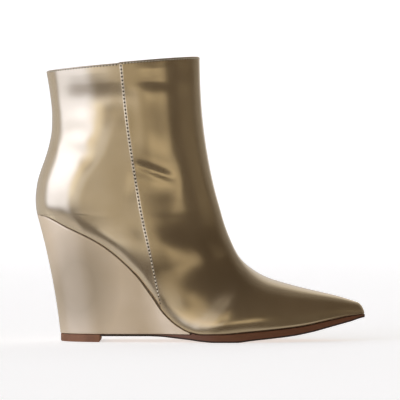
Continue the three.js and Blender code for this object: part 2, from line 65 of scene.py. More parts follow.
foot_share = [0, .1, .2, .3, .345, .385, .425, .465, .5, .56, .63, .71, .8, .9, .96, 1]
foot_rise = [1, .885, .742, .5, .335, .178, .076, .018, 0, 0, 0, 0, 0, 0, 0, 0]
foot_spring = [0, 0, 0, 0, 0, 0, 0, 0, 0, .01, .105, .225, .395, .735, .93, 1]
foot_lateral = [.476, .48, .495, .486, .47, .462, .466, .478, .49, .504, .487, .424, .323, .196, .113, .06]
foot_medial = [.476, .48, .492, .47, .44, .424, .418, .42, .432, .468, .485, .436, .336, .204, .116, .06]
heel_hollow_share = 0.107


def smooth_curve(knots, values):
    """A cubic with a continuous bend through the knots, straight on past its ends."""
    x = np.asarray(knots, float)
    y = np.asarray(values, float)
    width = np.diff(x)
    rate = np.diff(y) / width
    system = np.diag(2 * (width[:-1] + width[1:]))
    system += np.diag(width[1:-1], 1) + np.diag(width[1:-1], -1)
    bend = np.concatenate([[0], np.linalg.solve(system, 6 * np.diff(rate)), [0]])
    first_slope = rate[0] - width[0] * bend[1] / 6
    last_slope = rate[-1] + width[-1] * bend[-2] / 6

    def at(value):
        value = np.asarray(value, float)
        inside = np.clip(value, x[0], x[-1])
        i = np.clip(np.searchsorted(x, inside, side="right") - 1, 0, len(x) - 2)
        b = (inside - x[i]) / width[i]
        a = 1 - b
        curve = (a**3 - a) * bend[i] + (b**3 - b) * bend[i + 1]
        inner = a * y[i] + b * y[i + 1] + curve * width[i] ** 2 / 6
        return inner + np.minimum(value - x[0], 0) * first_slope + np.maximum(value - x[-1], 0) * last_slope

    return at


def level_curve(knots, values):
    """A cubic through the knots that never passes them, so a level stretch stays level."""
    x = np.asarray(knots, float)
    y = np.asarray(values, float)
    width = np.diff(x)
    rate = np.diff(y) / width
    slope = np.zeros(len(x))
    same_way = rate[:-1] * rate[1:] > 0
    total = np.where(same_way, rate[:-1] + rate[1:], 1)
    slope[1:-1] = np.where(same_way, 2 * rate[:-1] * rate[1:] / total, 0)

    def at(value):
        inside = np.clip(np.asarray(value, float), x[0], x[-1])
        i = np.clip(np.searchsorted(x, inside, side="right") - 1, 0, len(x) - 2)
        b = (inside - x[i]) / width[i]
        a = 1 - b
        ends = a * a * (1 + 2 * b) * y[i] + b * b * (1 + 2 * a) * y[i + 1]
        return ends + a * b * width[i] * (a * slope[i] - b * slope[i + 1])

    return at


def mix(first, last, share):
    return first + (last - first) * share


def smooth_step(value):
    """A cubic from 0 to 1, level at both ends."""
    t = np.clip(value, 0, 1)
    return t * t * (3 - 2 * t)


def closing(share):
    """A quarter of an ellipse: 0 at the closed end, 1 and level from a full closing length on."""
    rest = 1 - np.clip(share, 0, 1)
    return np.sqrt(1 - rest * rest)


rise_at = level_curve(foot_share, foot_rise)
spring_at = level_curve(foot_share, foot_spring)
lateral_at = smooth_curve(foot_share, foot_lateral)
medial_at = smooth_curve(foot_share, foot_medial)

tip_x = boot_length / 2
heel_x = -boot_length / 2 + ankle_hollow * heel_hollow_share
foot_length = tip_x - heel_x


def full_half(share, side):
    """The half width before the ends close: a share of a width that goes from the seat's to the ball's."""
    width = mix(seat_width, ball_width, smooth_step((share - widening_start) / widening_run))
    return width * np.where(side < 0, lateral_at(share), medial_at(share))


def centre_y(x):
    """The last's middle line, which swings to the inner side with the square of the way to the toe."""
    return toe_swing * np.maximum(x / tip_x, 0) ** 2


def feather_z(x):
    """Height of the line where the upper meets the sole: the heel's curve plus the toe's."""
    share = (x - heel_x) / foot_length
    heel_rise = (heel_height - outsole_thickness) * rise_at(share)
    return outsole_thickness + heel_rise + toe_rise * spring_at(share)


def outline_point(step, side, inset):
    """The sole's outline at steps from the heel (0) to the toe (1), crowded at both ends, drawn in along
    its own plan normal by an inset. Returns x and y."""

    def plan(u):
        share = (1 - np.cos(np.pi * u)) / 2
        half = full_half(share, side) * closing(share * foot_length * heel_taper / heel_round)
        half = half * closing((1 - share) * foot_length / toe_round)
        return heel_x + share * foot_length, np.where((u < 0) | (u > 1), -half, half)

    before_x, before_y = plan(step - plan_step)
    after_x, after_y = plan(step + plan_step)
    here_x, here_y = plan(step)
    length = np.hypot(after_x - before_x, after_y - before_y)
    x = here_x + (after_y - before_y) / length * inset
    y = side * (here_y - (after_x - before_x) / length * inset)
    return x, y + centre_y(x)


def frame_shift():
    """The way from this script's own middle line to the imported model's, in X and Y, found at the outsole: its
    tip, and the middle of its widest places."""
    low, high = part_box("outsole")
    step = np.linspace(0.5, 1, plan_samples)
    left = outline_point(step, -1, -edge_margin)[1].min()
    right = outline_point(step, 1, -edge_margin)[1].max()
    return np.array([high[0] - tip_x, (low[1] + high[1] - left - right) / 2, 0])


into_frame = frame_shift()


def unit(vectors):
    """The vectors divided by their length."""
    return vectors / np.maximum(np.linalg.norm(vectors, axis=-1, keepdims=True), tiny)


def grid_faces(rows, columns, first=0, closed=False):
    """Quads between each row of points and the next; a closed grid joins its last column to its first."""
    i, j = np.meshgrid(np.arange(rows - 1), np.arange(columns if closed else columns - 1), indexing="ij")
    after = (j + 1) % columns
    corners = [i * columns + j, i * columns + after, (i + 1) * columns + after, (i + 1) * columns + j]
    return first + np.stack(corners, axis=-1).reshape(-1, 4)


def make_piece(name, points, quads, maps=None, merge=True):
    """A smooth mesh from points and quads, moved into the frame. maps holds named pairs of numbers for each
    point, kept as UV maps. Points that fall together are merged, so seams and poles are closed, and the faces
    are turned outward."""
    mesh = bpy.data.meshes.new(name)
    mesh.from_pydata((points.reshape(-1, 3) + into_frame).tolist(), [], quads.tolist())
    for label, pairs in (maps or {}).items():
        layer = mesh.uv_layers.new(name=label)
        index = np.empty(len(mesh.loops), np.int32)
        mesh.loops.foreach_get("vertex_index", index)
        layer.data.foreach_set("uv", pairs.reshape(-1, 2)[index].astype(np.float32).ravel())
    if merge:
        shape = bmesh.new()
        shape.from_mesh(mesh)
        bmesh.ops.remove_doubles(shape, verts=shape.verts, dist=merge_reach)
        bmesh.ops.dissolve_degenerate(shape, edges=shape.edges, dist=tiny)
        bmesh.ops.recalc_face_normals(shape, faces=shape.faces)
        shape.to_mesh(mesh)
        shape.free()
    mesh.polygons.foreach_set("use_smooth", np.ones(len(mesh.polygons), bool))
    piece = bpy.data.objects.new(name, mesh)
    bpy.context.scene.collection.objects.link(piece)
    return piece


def shell_faces(rows, columns, joined_first=False, joined_last_from=None):
    """Quads of a closed skin made of an outer grid, an inner grid and the rim between their edges. The rim is
    left out along the first column, or along the last one from a row on, where another skin joins there."""
    outer = grid_faces(rows, columns)
    inner = grid_faces(rows, columns, rows * columns)[:, ::-1]
    corner = np.arange(rows * columns).reshape(rows, columns)
    stop = rows if joined_last_from is None else joined_last_from + 1
    runs = [corner[0], corner[:stop, -1], corner[-1, ::-1]]
    if not joined_first:
        runs.append(corner[::-1, 0])
    here = np.concatenate([run[:-1] for run in runs])
    after = np.concatenate([run[1:] for run in runs])
    inward = rows * columns
    return np.concatenate([outer, inner, np.stack([after, here, here + inward, after + inward], axis=-1)])


def new_material(name):
    """An empty node material. Returns it, its nodes, its links and its principled shader."""
    material = bpy.data.materials.new(name)
    material.use_nodes = True
    nodes = material.node_tree.nodes
    return material, nodes, material.node_tree.links, nodes["Principled BSDF"]


insole_thickness = 0.002
insole_inset = 0.0032
insole_end = 0.945
insole_edge = 0.0007
insole_steps = 150
insole_columns = 48


def insole_points(lift, ease):
    """The board's upper or lower face: straight across between the two sides of the outline, raised by lift,
    with its edge rounded off by ease."""
    step = np.linspace(0, np.arccos(1 - 2 * insole_end) / np.pi, insole_steps)[:, None]
    across = np.sin(np.linspace(-np.pi / 2, np.pi / 2, insole_columns))[None, :]
    left_x, left_y = outline_point(step, -1, insole_inset)
    right_x, right_y = outline_point(step, 1, insole_inset)
    x = mix(left_x, right_x, (across + 1) / 2)
    y = mix(left_y, right_y, (across + 1) / 2)
    from_edge = (1 - np.abs(across)) * (right_y - left_y) / 2
    round_off = ease * (1 - closing(from_edge / insole_edge))
    return np.stack([x, y, feather_z(x) + lift - round_off * np.ones_like(x)], axis=-1)


insole_top = insole_points(insole_thickness, insole_edge)
insole_bottom = insole_points(0, 0)
insole = make_piece(
    "insole_board",
    np.stack([insole_top, insole_bottom]),
    shell_faces(insole_steps, insole_columns),
)


def make_grain_group():
    """Leather grain: rounded cells of two sizes with fine pores, as a height and a slow change of shade."""
    group = bpy.data.node_groups.new("leather_grain", "ShaderNodeTree")
    face = group.interface
    face.new_socket("Cell Scale", in_out="INPUT", socket_type="NodeSocketFloat")
    face.new_socket("Cloud Scale", in_out="INPUT", socket_type="NodeSocketFloat")
    face.new_socket("Height", in_out="OUTPUT", socket_type="NodeSocketFloat")
    face.new_socket("Cloud", in_out="OUTPUT", socket_type="NodeSocketFloat")
    nodes, links = group.nodes, group.links
    inputs = nodes.new("NodeGroupInput")
    outputs = nodes.new("NodeGroupOutput")
    place = nodes.new("ShaderNodeTexCoord")
    cells = nodes.new("ShaderNodeTexVoronoi")
    cells.feature = "SMOOTH_F1"
    cells.inputs["Smoothness"].default_value = 0.6
    fine = nodes.new("ShaderNodeTexNoise")
    fine.inputs["Detail"].default_value = 4
    finer = nodes.new("ShaderNodeMath")
    finer.operation = "MULTIPLY"
    finer.inputs[1].default_value = 2.7
    cloud = nodes.new("ShaderNodeTexNoise")
    cloud.inputs["Detail"].default_value = 2
    both = nodes.new("ShaderNodeMath")
    both.operation = "ADD"
    links.new(inputs.outputs["Cell Scale"], cells.inputs["Scale"])
    links.new(inputs.outputs["Cell Scale"], finer.inputs[0])
    links.new(finer.outputs[0], fine.inputs["Scale"])
    links.new(inputs.outputs["Cloud Scale"], cloud.inputs["Scale"])
    for texture in (cells, fine, cloud):
        links.new(place.outputs["Object"], texture.inputs["Vector"])
    links.new(cells.outputs["Distance"], both.inputs[0])
    links.new(fine.outputs["Fac"], both.inputs[1])
    links.new(both.outputs[0], outputs.inputs["Height"])
    links.new(cloud.outputs["Fac"], outputs.inputs["Cloud"])
    return group


grain_group = make_grain_group()


def add_grain(nodes, cell_scale, cloud_scale):
    """A leather grain node with its two scales, in cells and clouds for each metre."""
    grain = nodes.new("ShaderNodeGroup")
    grain.node_tree = grain_group
    grain.inputs["Cell Scale"].default_value = cell_scale
    grain.inputs["Cloud Scale"].default_value = cloud_scale
    return grain


def add_bump(nodes, links, height, distance, strength, under=None):
    """A bump of the height given, over another normal where one is named. Returns its normal."""
    bump = nodes.new("ShaderNodeBump")
    bump.inputs["Distance"].default_value = distance
    bump.inputs["Strength"].default_value = strength
    links.new(height, bump.inputs["Height"])
    if under is not None:
        links.new(under, bump.inputs["Normal"])
    return bump.outputs["Normal"]


def add_range(nodes, links, value, low, high, first, last):
    """Maps a value's range onto another, held at both ends. Returns the result."""
    ranged = nodes.new("ShaderNodeMapRange")
    ranged.inputs["From Min"].default_value = low
    ranged.inputs["From Max"].default_value = high
    ranged.inputs["To Min"].default_value = first
    ranged.inputs["To Max"].default_value = last
    links.new(value, ranged.inputs["Value"])
    return ranged.outputs["Result"]


def add_colour_mix(nodes, links, factor, first, last, blend="MIX"):
    """Mixes two colours by a factor, or multiplies or adds the second one by so much. Each is a plain colour
    or the output of another node. Returns the result."""
    mixer = nodes.new("ShaderNodeMix")
    mixer.data_type = "RGBA"
    mixer.blend_type = blend
    mixer.clamp_factor = blend != "ADD"
    links.new(factor, mixer.inputs["Factor"])
    for socket, colour in ((mixer.inputs["A"], first), (mixer.inputs["B"], last)):
        if isinstance(colour, tuple):
            socket.default_value = (*colour, 1)
        else:
            links.new(colour, socket)
    return mixer.outputs["Result"]


def soft_leather(name, light, dark, roughness):
    """Unfinished lining leather: a shade that clouds slowly, fine grain and little gloss."""
    material, nodes, links, shader = new_material(name)
    grain = add_grain(nodes, cell_scale=1500, cloud_scale=60)
    shade = add_range(nodes, links, grain.outputs["Cloud"], 0.35, 0.65, 0, 1)
    links.new(add_colour_mix(nodes, links, shade, dark, light), shader.inputs["Base Color"])
    shader.inputs["Roughness"].default_value = roughness
    grained = add_bump(nodes, links, grain.outputs["Height"], distance=0.00012, strength=0.5)
    links.new(grained, shader.inputs["Normal"])
    return material


insole.data.materials.append(
    soft_leather("insole_leather", light=(0.62, 0.49, 0.34), dark=(0.55, 0.42, 0.28), roughness=0.6)
)
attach(insole, "root")
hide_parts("insole")

# The upper: two panels of glossy metallic leather over a thin lining, pulled tight over the last. This part
# is what its pieces share: the outside of the boot, the line of the seams, the creases and the folded edges.
instep_height = 0.0712
front_height = 0.2072
back_height = 0.1972
shaft_length = 0.1123
shaft_width = 0.064
toe_drop = 0.0055
side_bulge = 0.003
bulge_height = 0.014
bulge_tail = 0.03
bulge_share = 0.6
trim = 0.001
wall = 0.002

back_share = [-.05, 0, .05, .11, .172, .242, .311, .381, .451, .521, .59, .66, .8, 1]
back_hollow = [.19, heel_hollow_share, .035, 0, .03, .125, .3, .52, .72, .87, .965, 1, .92, .645]
back_width = [.01, 0, 0, .03, .08, .17, .28, .39, .51, .62, .71, .79, .91, 1]
back_round = [0, 0, 0, .03, .07, .15, .25, .37, .51, .63, .74, .83, .95, 1]

row_foot = [0, .092, .192, .296, .4, .5, .59, .675, .765, .862, .955, 1.08, 1.27, 1.47, 1.665, 1.84, 2]
row_front = [1, .842, .6675, .5096, .3915, .3126, .2602, .2236, .1965, .1712, .1463, .1205, .086, .0507,
             .0216, .0058, 0]
row_vamp = [.368, .455, .526, .596, .665, .745, .821, .905, 1, 1, 1, 1, 1, 1, 1, 1, 1]
row_shaft = [0, 0, 0, 0, 0, 0, 0, 0, 0, .053, .115, .195, .309, .463, .64, .822, 1]
row_close = [1, 1, .99, .97, .93, .87, .8, .71, .61, .52, .46, .43, .41, .41, .42, .43, .44]
row_bulge = [.2, .55, .8, .95, 1, 1.1, 1.25, 1.35, 1.4, 1.4, 1.4, 1.37, 1.1, .65, .3, .12, 0]
top_row = len(row_foot) - 1
toe_end_row = 2
corner_start = 0.2
corner_reach = 0.07
row_samples = 400
halvings = 48

seam_height = [.115, .203, .323, .43, .584, .766, .966]
seam_along = [.379, .362, .341, .321, .298, .275, .257]

hollow_at = smooth_curve(back_share, back_hollow)
back_width_at = smooth_curve(back_share, back_width)
back_round_at = smooth_curve(back_share, back_round)
seam_at = smooth_curve(seam_height, seam_along)
row_keys = np.arange(top_row + 1)


def back_x(up):
    """The back of the boot in the side view, from the heel (0) to the top line (1)."""
    return -boot_length / 2 + ankle_hollow * hollow_at(up)


def seam_x(z):
    """The side seam in the side view."""
    return -boot_length / 2 + boot_length * seam_at(z / front_height)


shaft_front_x = back_x(1) + shaft_length
foot_at = smooth_curve(row_keys, row_foot)
front_x_at = smooth_curve(row_keys, mix(shaft_front_x, tip_x, np.array(row_front)))
front_z_at = smooth_curve(
    row_keys,
    instep_height * np.array(row_vamp) + (front_height - instep_height) * np.array(row_shaft),
)
close_at = smooth_curve(row_keys, row_close)
bulge_at = smooth_curve(row_keys, row_bulge)


def find_end(low, high, test):
    """The place between two bounds where a test stops being true, by halving, for whole arrays at once."""
    low = np.asarray(low, float) + 0 * np.asarray(high, float)
    high = np.asarray(high, float) + 0 * low
    for _ in range(halvings):
        middle = (low + high) / 2
        holds = test(middle)
        low = np.where(holds, middle, low)
        high = np.where(holds, high, middle)
    return high


heel_row = float(find_end(0, top_row, lambda row: foot_at(row) < 1))


def row_ends(row):
    """A section's two ends in the side view: on the sole or up the back, and on the front edge. The feet
    leave the heel's corner slowly, so the sections turn smoothly there."""
    foot = foot_at(row)
    on_sole = row <= heel_row
    share = np.where(on_sole, np.maximum(1 - foot, 0), 0)
    past = np.maximum(foot - 1, 0)
    up = past * mix(corner_start, 1, smooth_step(past / corner_reach))
    sole_x = heel_x + share * foot_length
    start_x = np.where(on_sole, sole_x, back_x(up))
    start_z = np.where(on_sole, feather_z(sole_x) - trim, mix(heel_height - trim, back_height, up))
    end_x = front_x_at(row)
    end_z = mix(start_z, front_z_at(row), closing(np.maximum(tip_x - end_x, 0) / toe_drop))
    return share, up, start_x, start_z, end_x, end_z


def row_reach(row):
    """A section's length in the side view."""
    _, _, start_x, start_z, end_x, end_z = row_ends(row)
    return np.hypot(end_x - start_x, end_z - start_z)


even_reach_at = smooth_curve(row_keys, row_reach(row_keys))


def close_length(row):
    """The length over which a section closes at the front: a share of its own length, which is evened out
    behind the toe so that it changes smoothly where the sections' feet turn up at the heel."""
    return close_at(row) * mix(row_reach(row), even_reach_at(row), smooth_step(row - toe_end_row))


def last_point(row, side, distance):
    """A point of the upper's outside: at a distance from the foot of its section in the side view, with the
    half width closing like an ellipse towards the front edge, towards the heel's back and at the toe, and
    swelling over the sole, most of it low down."""
    share, up, start_x, start_z, end_x, end_z = row_ends(row)
    on_sole = row <= heel_row
    reach = np.hypot(end_x - start_x, end_z - start_z)
    along = distance / np.maximum(reach, tiny)
    x = mix(start_x, end_x, along)
    z = mix(start_z, end_z, along)
    back_half = mix(full_half(0, side), shaft_width / 2, back_width_at(up))
    half = np.where(on_sole, full_half(share, side), back_half)
    rounding = mix(heel_round, shaft_length / 2, np.where(on_sole, 0, back_round_at(up)))
    height = z - feather_z(np.maximum(x, heel_x))
    short_swell = 1 - (1 - np.minimum(height / bulge_height, 1)) ** 3
    long_swell = 1 - (1 - np.minimum(height / bulge_tail, 1)) ** 2
    swell = mix(long_swell, short_swell, bulge_share)
    y = half + side_bulge * bulge_at(row) * swell
    y = y * closing((reach - distance) / np.maximum(close_length(row), tiny))
    y = y * np.where(on_sole, closing((1 - share) * foot_length / toe_round), 1)
    y = y * closing((share * foot_length * heel_taper + distance) / rounding)
    return np.stack([x, side * y + centre_y(x), z], axis=-1)


def feather_distance(row):
    """How far up its section a row passes the line where the upper meets the sole."""

    def below(distance):
        point = last_point(row, -1, distance)
        return point[..., 2] < feather_z(np.maximum(point[..., 0], heel_x))

    return find_end(0, np.minimum(row_reach(row), 4 * trim), below)


def seam_distance(row, forward):
    """How far up its section a row crosses the side seam, or a line a little forward of it; 0 where it
    starts in front of it."""

    def behind(distance):
        point = last_point(row, -1, distance)
        return point[..., 0] < seam_x(point[..., 2]) + forward

    return find_end(0, row_reach(row), behind)


def row_points(row, side, near, far, share_of_way):
    """Points along each section between two distances from its foot, at the shares given of the way along
    the curve, from the front end to the foot end. Returns the points and the way's length for each row."""
    row = row[:, None]
    reach = row_reach(row)
    turn = np.linspace(0, np.pi, row_samples)
    fine = last_point(row, side, reach * (1 + np.cos(turn)) / 2)
    length = np.cumsum(np.linalg.norm(np.diff(fine, axis=1), axis=2), axis=1)
    length = np.concatenate([np.zeros_like(length[:, :1]), length], axis=1)

    def length_at(distance):
        here = np.arccos(np.clip(2 * distance / np.maximum(reach[:, 0], tiny) - 1, -1, 1))
        return np.array([np.interp(a, turn, line) for a, line in zip(here, length)])

    first = length_at(far)
    way = length_at(near) - first
    wanted = first[:, None] + way[:, None] * share_of_way(way[:, None])
    here = np.array([np.interp(w, line, turn) for w, line in zip(wanted, length)])
    return last_point(row, side, reach * (1 + np.cos(here)) / 2), way


def edge_shares(count, edge, steps):
    """Shares of the way from its start to an edge: even, then crowded over the last bit, where it rolls,
    which is a quarter of the way at most."""

    def shares(way):
        bit = np.minimum(edge, way / 4) / np.maximum(way, tiny)
        even = np.linspace(0, 1, count, endpoint=False)[None, :] * (1 - bit)
        turning = 1 - bit * (1 - np.sin(np.linspace(0, np.pi / 2, steps)))[None, :]
        return np.concatenate([even, turning], axis=1)

    return shares


def roll(distance, radius):
    """How deep a folded edge has turned in at a distance from it: a quarter circle."""
    return radius * (1 - closing(distance / radius))


def fold(distance):
    """How deep a hammered fold has turned in at a distance from it: a bevel that levels off, as the power 1.2
    of what is left of its width, and the shallow step that the stitches press down beside it."""
    bevel = fold_depth * np.clip(1 - distance / fold_width, 0, 1) ** 1.2
    return bevel + press_depth * (1 - smooth_step((distance - press_start) / press_width))


def side_normals(points, rows, flip):
    """Outward directions of a grid, from its slopes along the columns and over the row numbers."""
    across = np.gradient(points, axis=1)
    along = np.gradient(points, rows, axis=0)
    return unit(np.cross(across, along)) * flip


crease_fade = 0.25
inner_wear = 0.8


def crease(points, start, end, depth, width):
    """A soft trough along a line in the side view, with a low ridge on each side: the second derivative of a
    bell across the line, fading towards both ends. Positive where the leather sinks."""
    line = np.array(end) - np.array(start)
    length = np.hypot(*line)
    along = ((points[..., 0] - start[0]) * line[0] + (points[..., 2] - start[1]) * line[1]) / length
    across = ((points[..., 2] - start[1]) * line[0] - (points[..., 0] - start[0]) * line[1]) / length
    bell = (across / width) ** 2
    before_end = smooth_step((1 + crease_fade - along / length) / (2 * crease_fade))
    ends = smooth_step((along / length + crease_fade) / (2 * crease_fade)) * before_end
    return depth * (1 - bell) * np.exp(-bell / 2) * ends


# Where the ankle bends, at the back and under the stiff hem: the start and end of each crease in the side
# view, its depth and its width.
shaft_creases = [
    ((-0.0458, 0.1285), (-0.0215, 0.1195), 0.00030, 0.0026),
    ((-0.0480, 0.1190), (-0.0187, 0.1155), 0.00090, 0.0180),
    ((-0.1040, 0.1440), (-0.0800, 0.1330), 0.00025, 0.0060),
    ((-0.0970, 0.1735), (-0.0500, 0.1750), 0.00090, 0.0125),
    ((-0.1070, 0.1500), (-0.0820, 0.1540), 0.00035, 0.0060),
    ((-0.0500, 0.1905), (-0.0100, 0.1875), 0.00035, 0.0050),
]


def wear(points):
    """The sum of the creases over a panel, on the outer side a little deeper than on the inner one."""
    sunk = sum(crease(points, *each) for each in shaft_creases)
    return sunk * np.where(points[..., 1] < 0, 1, inner_wear)


def spread_rows(*spans):
    """Row numbers over spans of (first, last, count, crowd): crowd -1 crowds them at the first end, 1 at the
    last, 0 leaves them even."""
    rows = []
    for first, last, count, crowd in spans:
        share = np.linspace(0, 1, count, endpoint=False)
        if crowd < 0:
            share = share**2
        elif crowd > 0:
            share = 1 - (1 - share) ** 2
        rows.append(mix(first, last, share))
    return np.concatenate([*rows, [spans[-1][1]]])


# The folded edges and the hem: how thick the leather is, and how wide and deep its edges turn in.
skin = 0.0007
fold_depth = 0.00045
fold_width = 0.0012
press_depth = 0.00025
press_start = 0.0014
press_width = 0.001
edge_reach = 0.0026
hem_radius = 0.001
hem_depth = 0.004
panel_edge_steps = 14
hem_steps = 20
hem_rows = 0.6
top_sample = 0.1

toe_row = float(find_end(0, 1, lambda row: row_ends(row)[5] < feather_z(front_x_at(row))))


def corner_row(forward):
    """The section whose foot meets the sole where the side seam, moved forward, comes down to it."""

    def in_front(row):
        foot = last_point(row, -1, feather_distance(row))
        return foot[..., 0] > seam_x(foot[..., 2]) + forward

    return float(find_end(1, heel_row, in_front))


def arc_from(points, last=False):
    """Length along each row of a grid from its first column, or from its last one."""
    step = np.linalg.norm(np.diff(points, axis=1), axis=2)
    length = np.concatenate([np.zeros_like(step[:, :1]), np.cumsum(step, axis=1)], axis=1)
    return length[:, -1:] - length if last else length


def top_rows(crest):
    """Row numbers over the last bit below a panel's top edge, crowded where the hem rolls in."""
    turning = np.sin(np.linspace(0, np.pi / 2, hem_steps))
    return crest - rows_of(2 * hem_depth) * (1 - turning)


def rows_of(height):
    """A height at the top line as a number of rows."""
    gap = row_ends(np.array(float(top_row)))[5] - row_ends(np.array(top_row - top_sample))[5]
    return top_sample * height / float(gap)


def panel_layers(points, normals, from_top, from_edge):
    """A panel's outer and inner skin. Both turn into a rounded edge: at the top line over the whole wall,
    at the other edges over the skived leather."""
    at_top = smooth_step(2 - from_top / hem_depth)
    depth = mix(skin, wall, at_top)
    outer = np.maximum(fold(from_edge), roll(from_top, hem_radius))
    inner = depth - roll(from_top, hem_radius) * at_top
    inner = np.maximum(inner, outer)
    return points - normals * outer[..., None], points - normals * inner[..., None]


def below_crest(rows, crest):
    """Each row's distance below its panel's top edge."""
    return ((crest - rows) / rows_of(1))[:, None]


# The front panel: metallic leather over the instep and the toe, from seam to seam. It is crimped to the
# ankle's bend, its side edges are skived and folded, and it laps over the rear panel, where it is sewn down.
front_lip = 0.0006
front_columns = 56
front_crest = top_row + rows_of(front_lip)
front_corner = corner_row(0)
front_rows = np.concatenate([
    spread_rows(
        (toe_row, 1, 26, -1),
        (1, front_corner, 92, 0),
        (front_corner, top_row - hem_rows, 96, 0),
    )[:-1],
    top_rows(front_crest),
])


def front_half(side):
    """One side of the front panel, from the front edge to the seam or the sole."""
    near = np.maximum(feather_distance(front_rows), seam_distance(front_rows, 0))
    shares = edge_shares(front_columns, edge_reach, panel_edge_steps)
    return row_points(front_rows, side, near, row_reach(front_rows), shares)[0]


lateral = front_half(-1)
medial = front_half(1)
front_grid = np.concatenate([lateral[:, :0:-1], medial], axis=1)
front_normals = side_normals(front_grid, front_rows, 1)
front_grid = front_grid - front_normals * wear(front_grid)[..., None]
edge_distance = np.concatenate([arc_from(lateral, True)[:, :0:-1], arc_from(medial, True)], axis=1)
top_distance = below_crest(front_rows, front_crest) + 0 * edge_distance
front_outer, front_inner = panel_layers(front_grid, front_normals, top_distance, edge_distance)


def seam_run(edge):
    """Length along a panel's edge from its lowest point."""
    step = np.linalg.norm(np.diff(edge, axis=0), axis=1)
    return np.concatenate([[0], np.cumsum(step)])


def stitch_maps(grid, along_seam, from_edge, from_top, reached):
    """Two maps of a panel, in metres: along and away from the side seam, and along and away from the top
    line. Where the seam isn't reached, and there is only the sole's edge, its map lies far away."""
    out_of_reach = np.where(reached, 0.0, 1.0)[:, None]
    along_top = arc_from(grid)[-1][None, :] + 0 * from_edge
    return {
        "seam": np.stack([along_seam + 0 * from_edge, from_edge + out_of_reach], axis=-1),
        "hem": np.stack([along_top, from_top], axis=-1),
    }


edge_runs = (seam_run(front_grid[:, 0]), seam_run(front_grid[:, -1]))
on_lateral = np.arange(front_grid.shape[1]) < front_grid.shape[1] / 2
front_run = np.where(on_lateral, edge_runs[0][:, None], edge_runs[1][:, None])
front_maps = stitch_maps(front_grid, front_run, edge_distance, top_distance, front_rows > front_corner)
front_maps = {label: np.stack([pairs, pairs]) for label, pairs in front_maps.items()}
front_panel = make_piece(
    "front_panel",
    np.stack([front_outer, front_inner]),
    shell_faces(*front_grid.shape[:2]),
    front_maps,
)

# The needle holes of the two rows of stitches, with the shade inside them painted near black, and the furrow
# that the thread pulls along them.
seam_stitch_pitch = 0.00265
seam_stitch_inset = 0.00125
hem_stitch_pitch = 0.0023
hem_stitch_inset = 0.0014
hole_size = 0.00048
hole_depth = 0.0003
hole_shade_gain = 2.2
furrow_width = 0.0005
furrow_depth = 0.00004
hole_shade_colour = (0.02, 0.013, 0.008)


def add_maths(nodes, links, operation, *values):
    """A maths node over plain numbers and the outputs of other nodes. Returns its result."""
    node = nodes.new("ShaderNodeMath")
    node.operation = operation
    for socket, value in zip(node.inputs, values):
        if isinstance(value, (int, float)):
            socket.default_value = value
        else:
            links.new(value, socket)
    return node.outputs[0]


def make_holes_group():
    """The needle holes of a line of stitches and the furrow that the thread pulls: from a map of the distance
    along the line and away from its edge, a height in metres, and a mask of the holes, where shade is painted."""
    group = bpy.data.node_groups.new("stitch_holes", "ShaderNodeTree")
    face = group.interface
    face.new_socket("Place", in_out="INPUT", socket_type="NodeSocketVector")
    for label in ("Pitch", "Inset", "Hole", "Furrow", "Furrow Depth", "Hole Depth"):
        face.new_socket(label, in_out="INPUT", socket_type="NodeSocketFloat")
    face.new_socket("Mask", in_out="OUTPUT", socket_type="NodeSocketFloat")
    face.new_socket("Height", in_out="OUTPUT", socket_type="NodeSocketFloat")
    nodes, links = group.nodes, group.links
    inputs = nodes.new("NodeGroupInput")
    outputs = nodes.new("NodeGroupOutput")

    def maths(operation, *values):
        return add_maths(nodes, links, operation, *values)

    def bell(distance, width):
        """Falls from 1 as a bell over a distance in widths."""
        return maths("EXPONENT", maths("MULTIPLY", maths("POWER", maths("DIVIDE", distance, width), 2), -1))

    split = nodes.new("ShaderNodeSeparateXYZ")
    links.new(inputs.outputs["Place"], split.inputs[0])
    across = maths("ABSOLUTE", maths("SUBTRACT", split.outputs["Y"], inputs.outputs["Inset"]))
    turns = maths("FRACT", maths("DIVIDE", split.outputs["X"], inputs.outputs["Pitch"]))
    nearest = maths("MINIMUM", turns, maths("SUBTRACT", 1, turns))
    along = maths("MULTIPLY", nearest, inputs.outputs["Pitch"])
    away = maths("SQRT", maths("ADD", maths("POWER", across, 2), maths("POWER", along, 2)))
    hole = bell(away, inputs.outputs["Hole"])
    sunk = maths(
        "ADD",
        maths("MULTIPLY", bell(across, inputs.outputs["Furrow"]), inputs.outputs["Furrow Depth"]),
        maths("MULTIPLY", hole, inputs.outputs["Hole Depth"]),
    )
    # Painted shade: how strongly the near black fills each hole.
    links.new(maths("MINIMUM", maths("MULTIPLY", hole, hole_shade_gain), 1), outputs.inputs["Mask"])
    links.new(maths("MULTIPLY", sunk, -1), outputs.inputs["Height"])
    return group


holes_group = make_holes_group()


def add_holes(nodes, links, label, pitch, inset, depth):
    """The holes of one line of stitches, read from a piece's map of that name, in a furrow of a depth."""
    place = nodes.new("ShaderNodeUVMap")
    place.uv_map = label
    holes = nodes.new("ShaderNodeGroup")
    holes.node_tree = holes_group
    holes.inputs["Pitch"].default_value = pitch
    holes.inputs["Inset"].default_value = inset
    holes.inputs["Hole"].default_value = hole_size
    holes.inputs["Furrow"].default_value = furrow_width
    holes.inputs["Furrow Depth"].default_value = depth
    holes.inputs["Hole Depth"].default_value = hole_depth
    links.new(place.outputs["UV"], holes.inputs["Place"])
    return holes


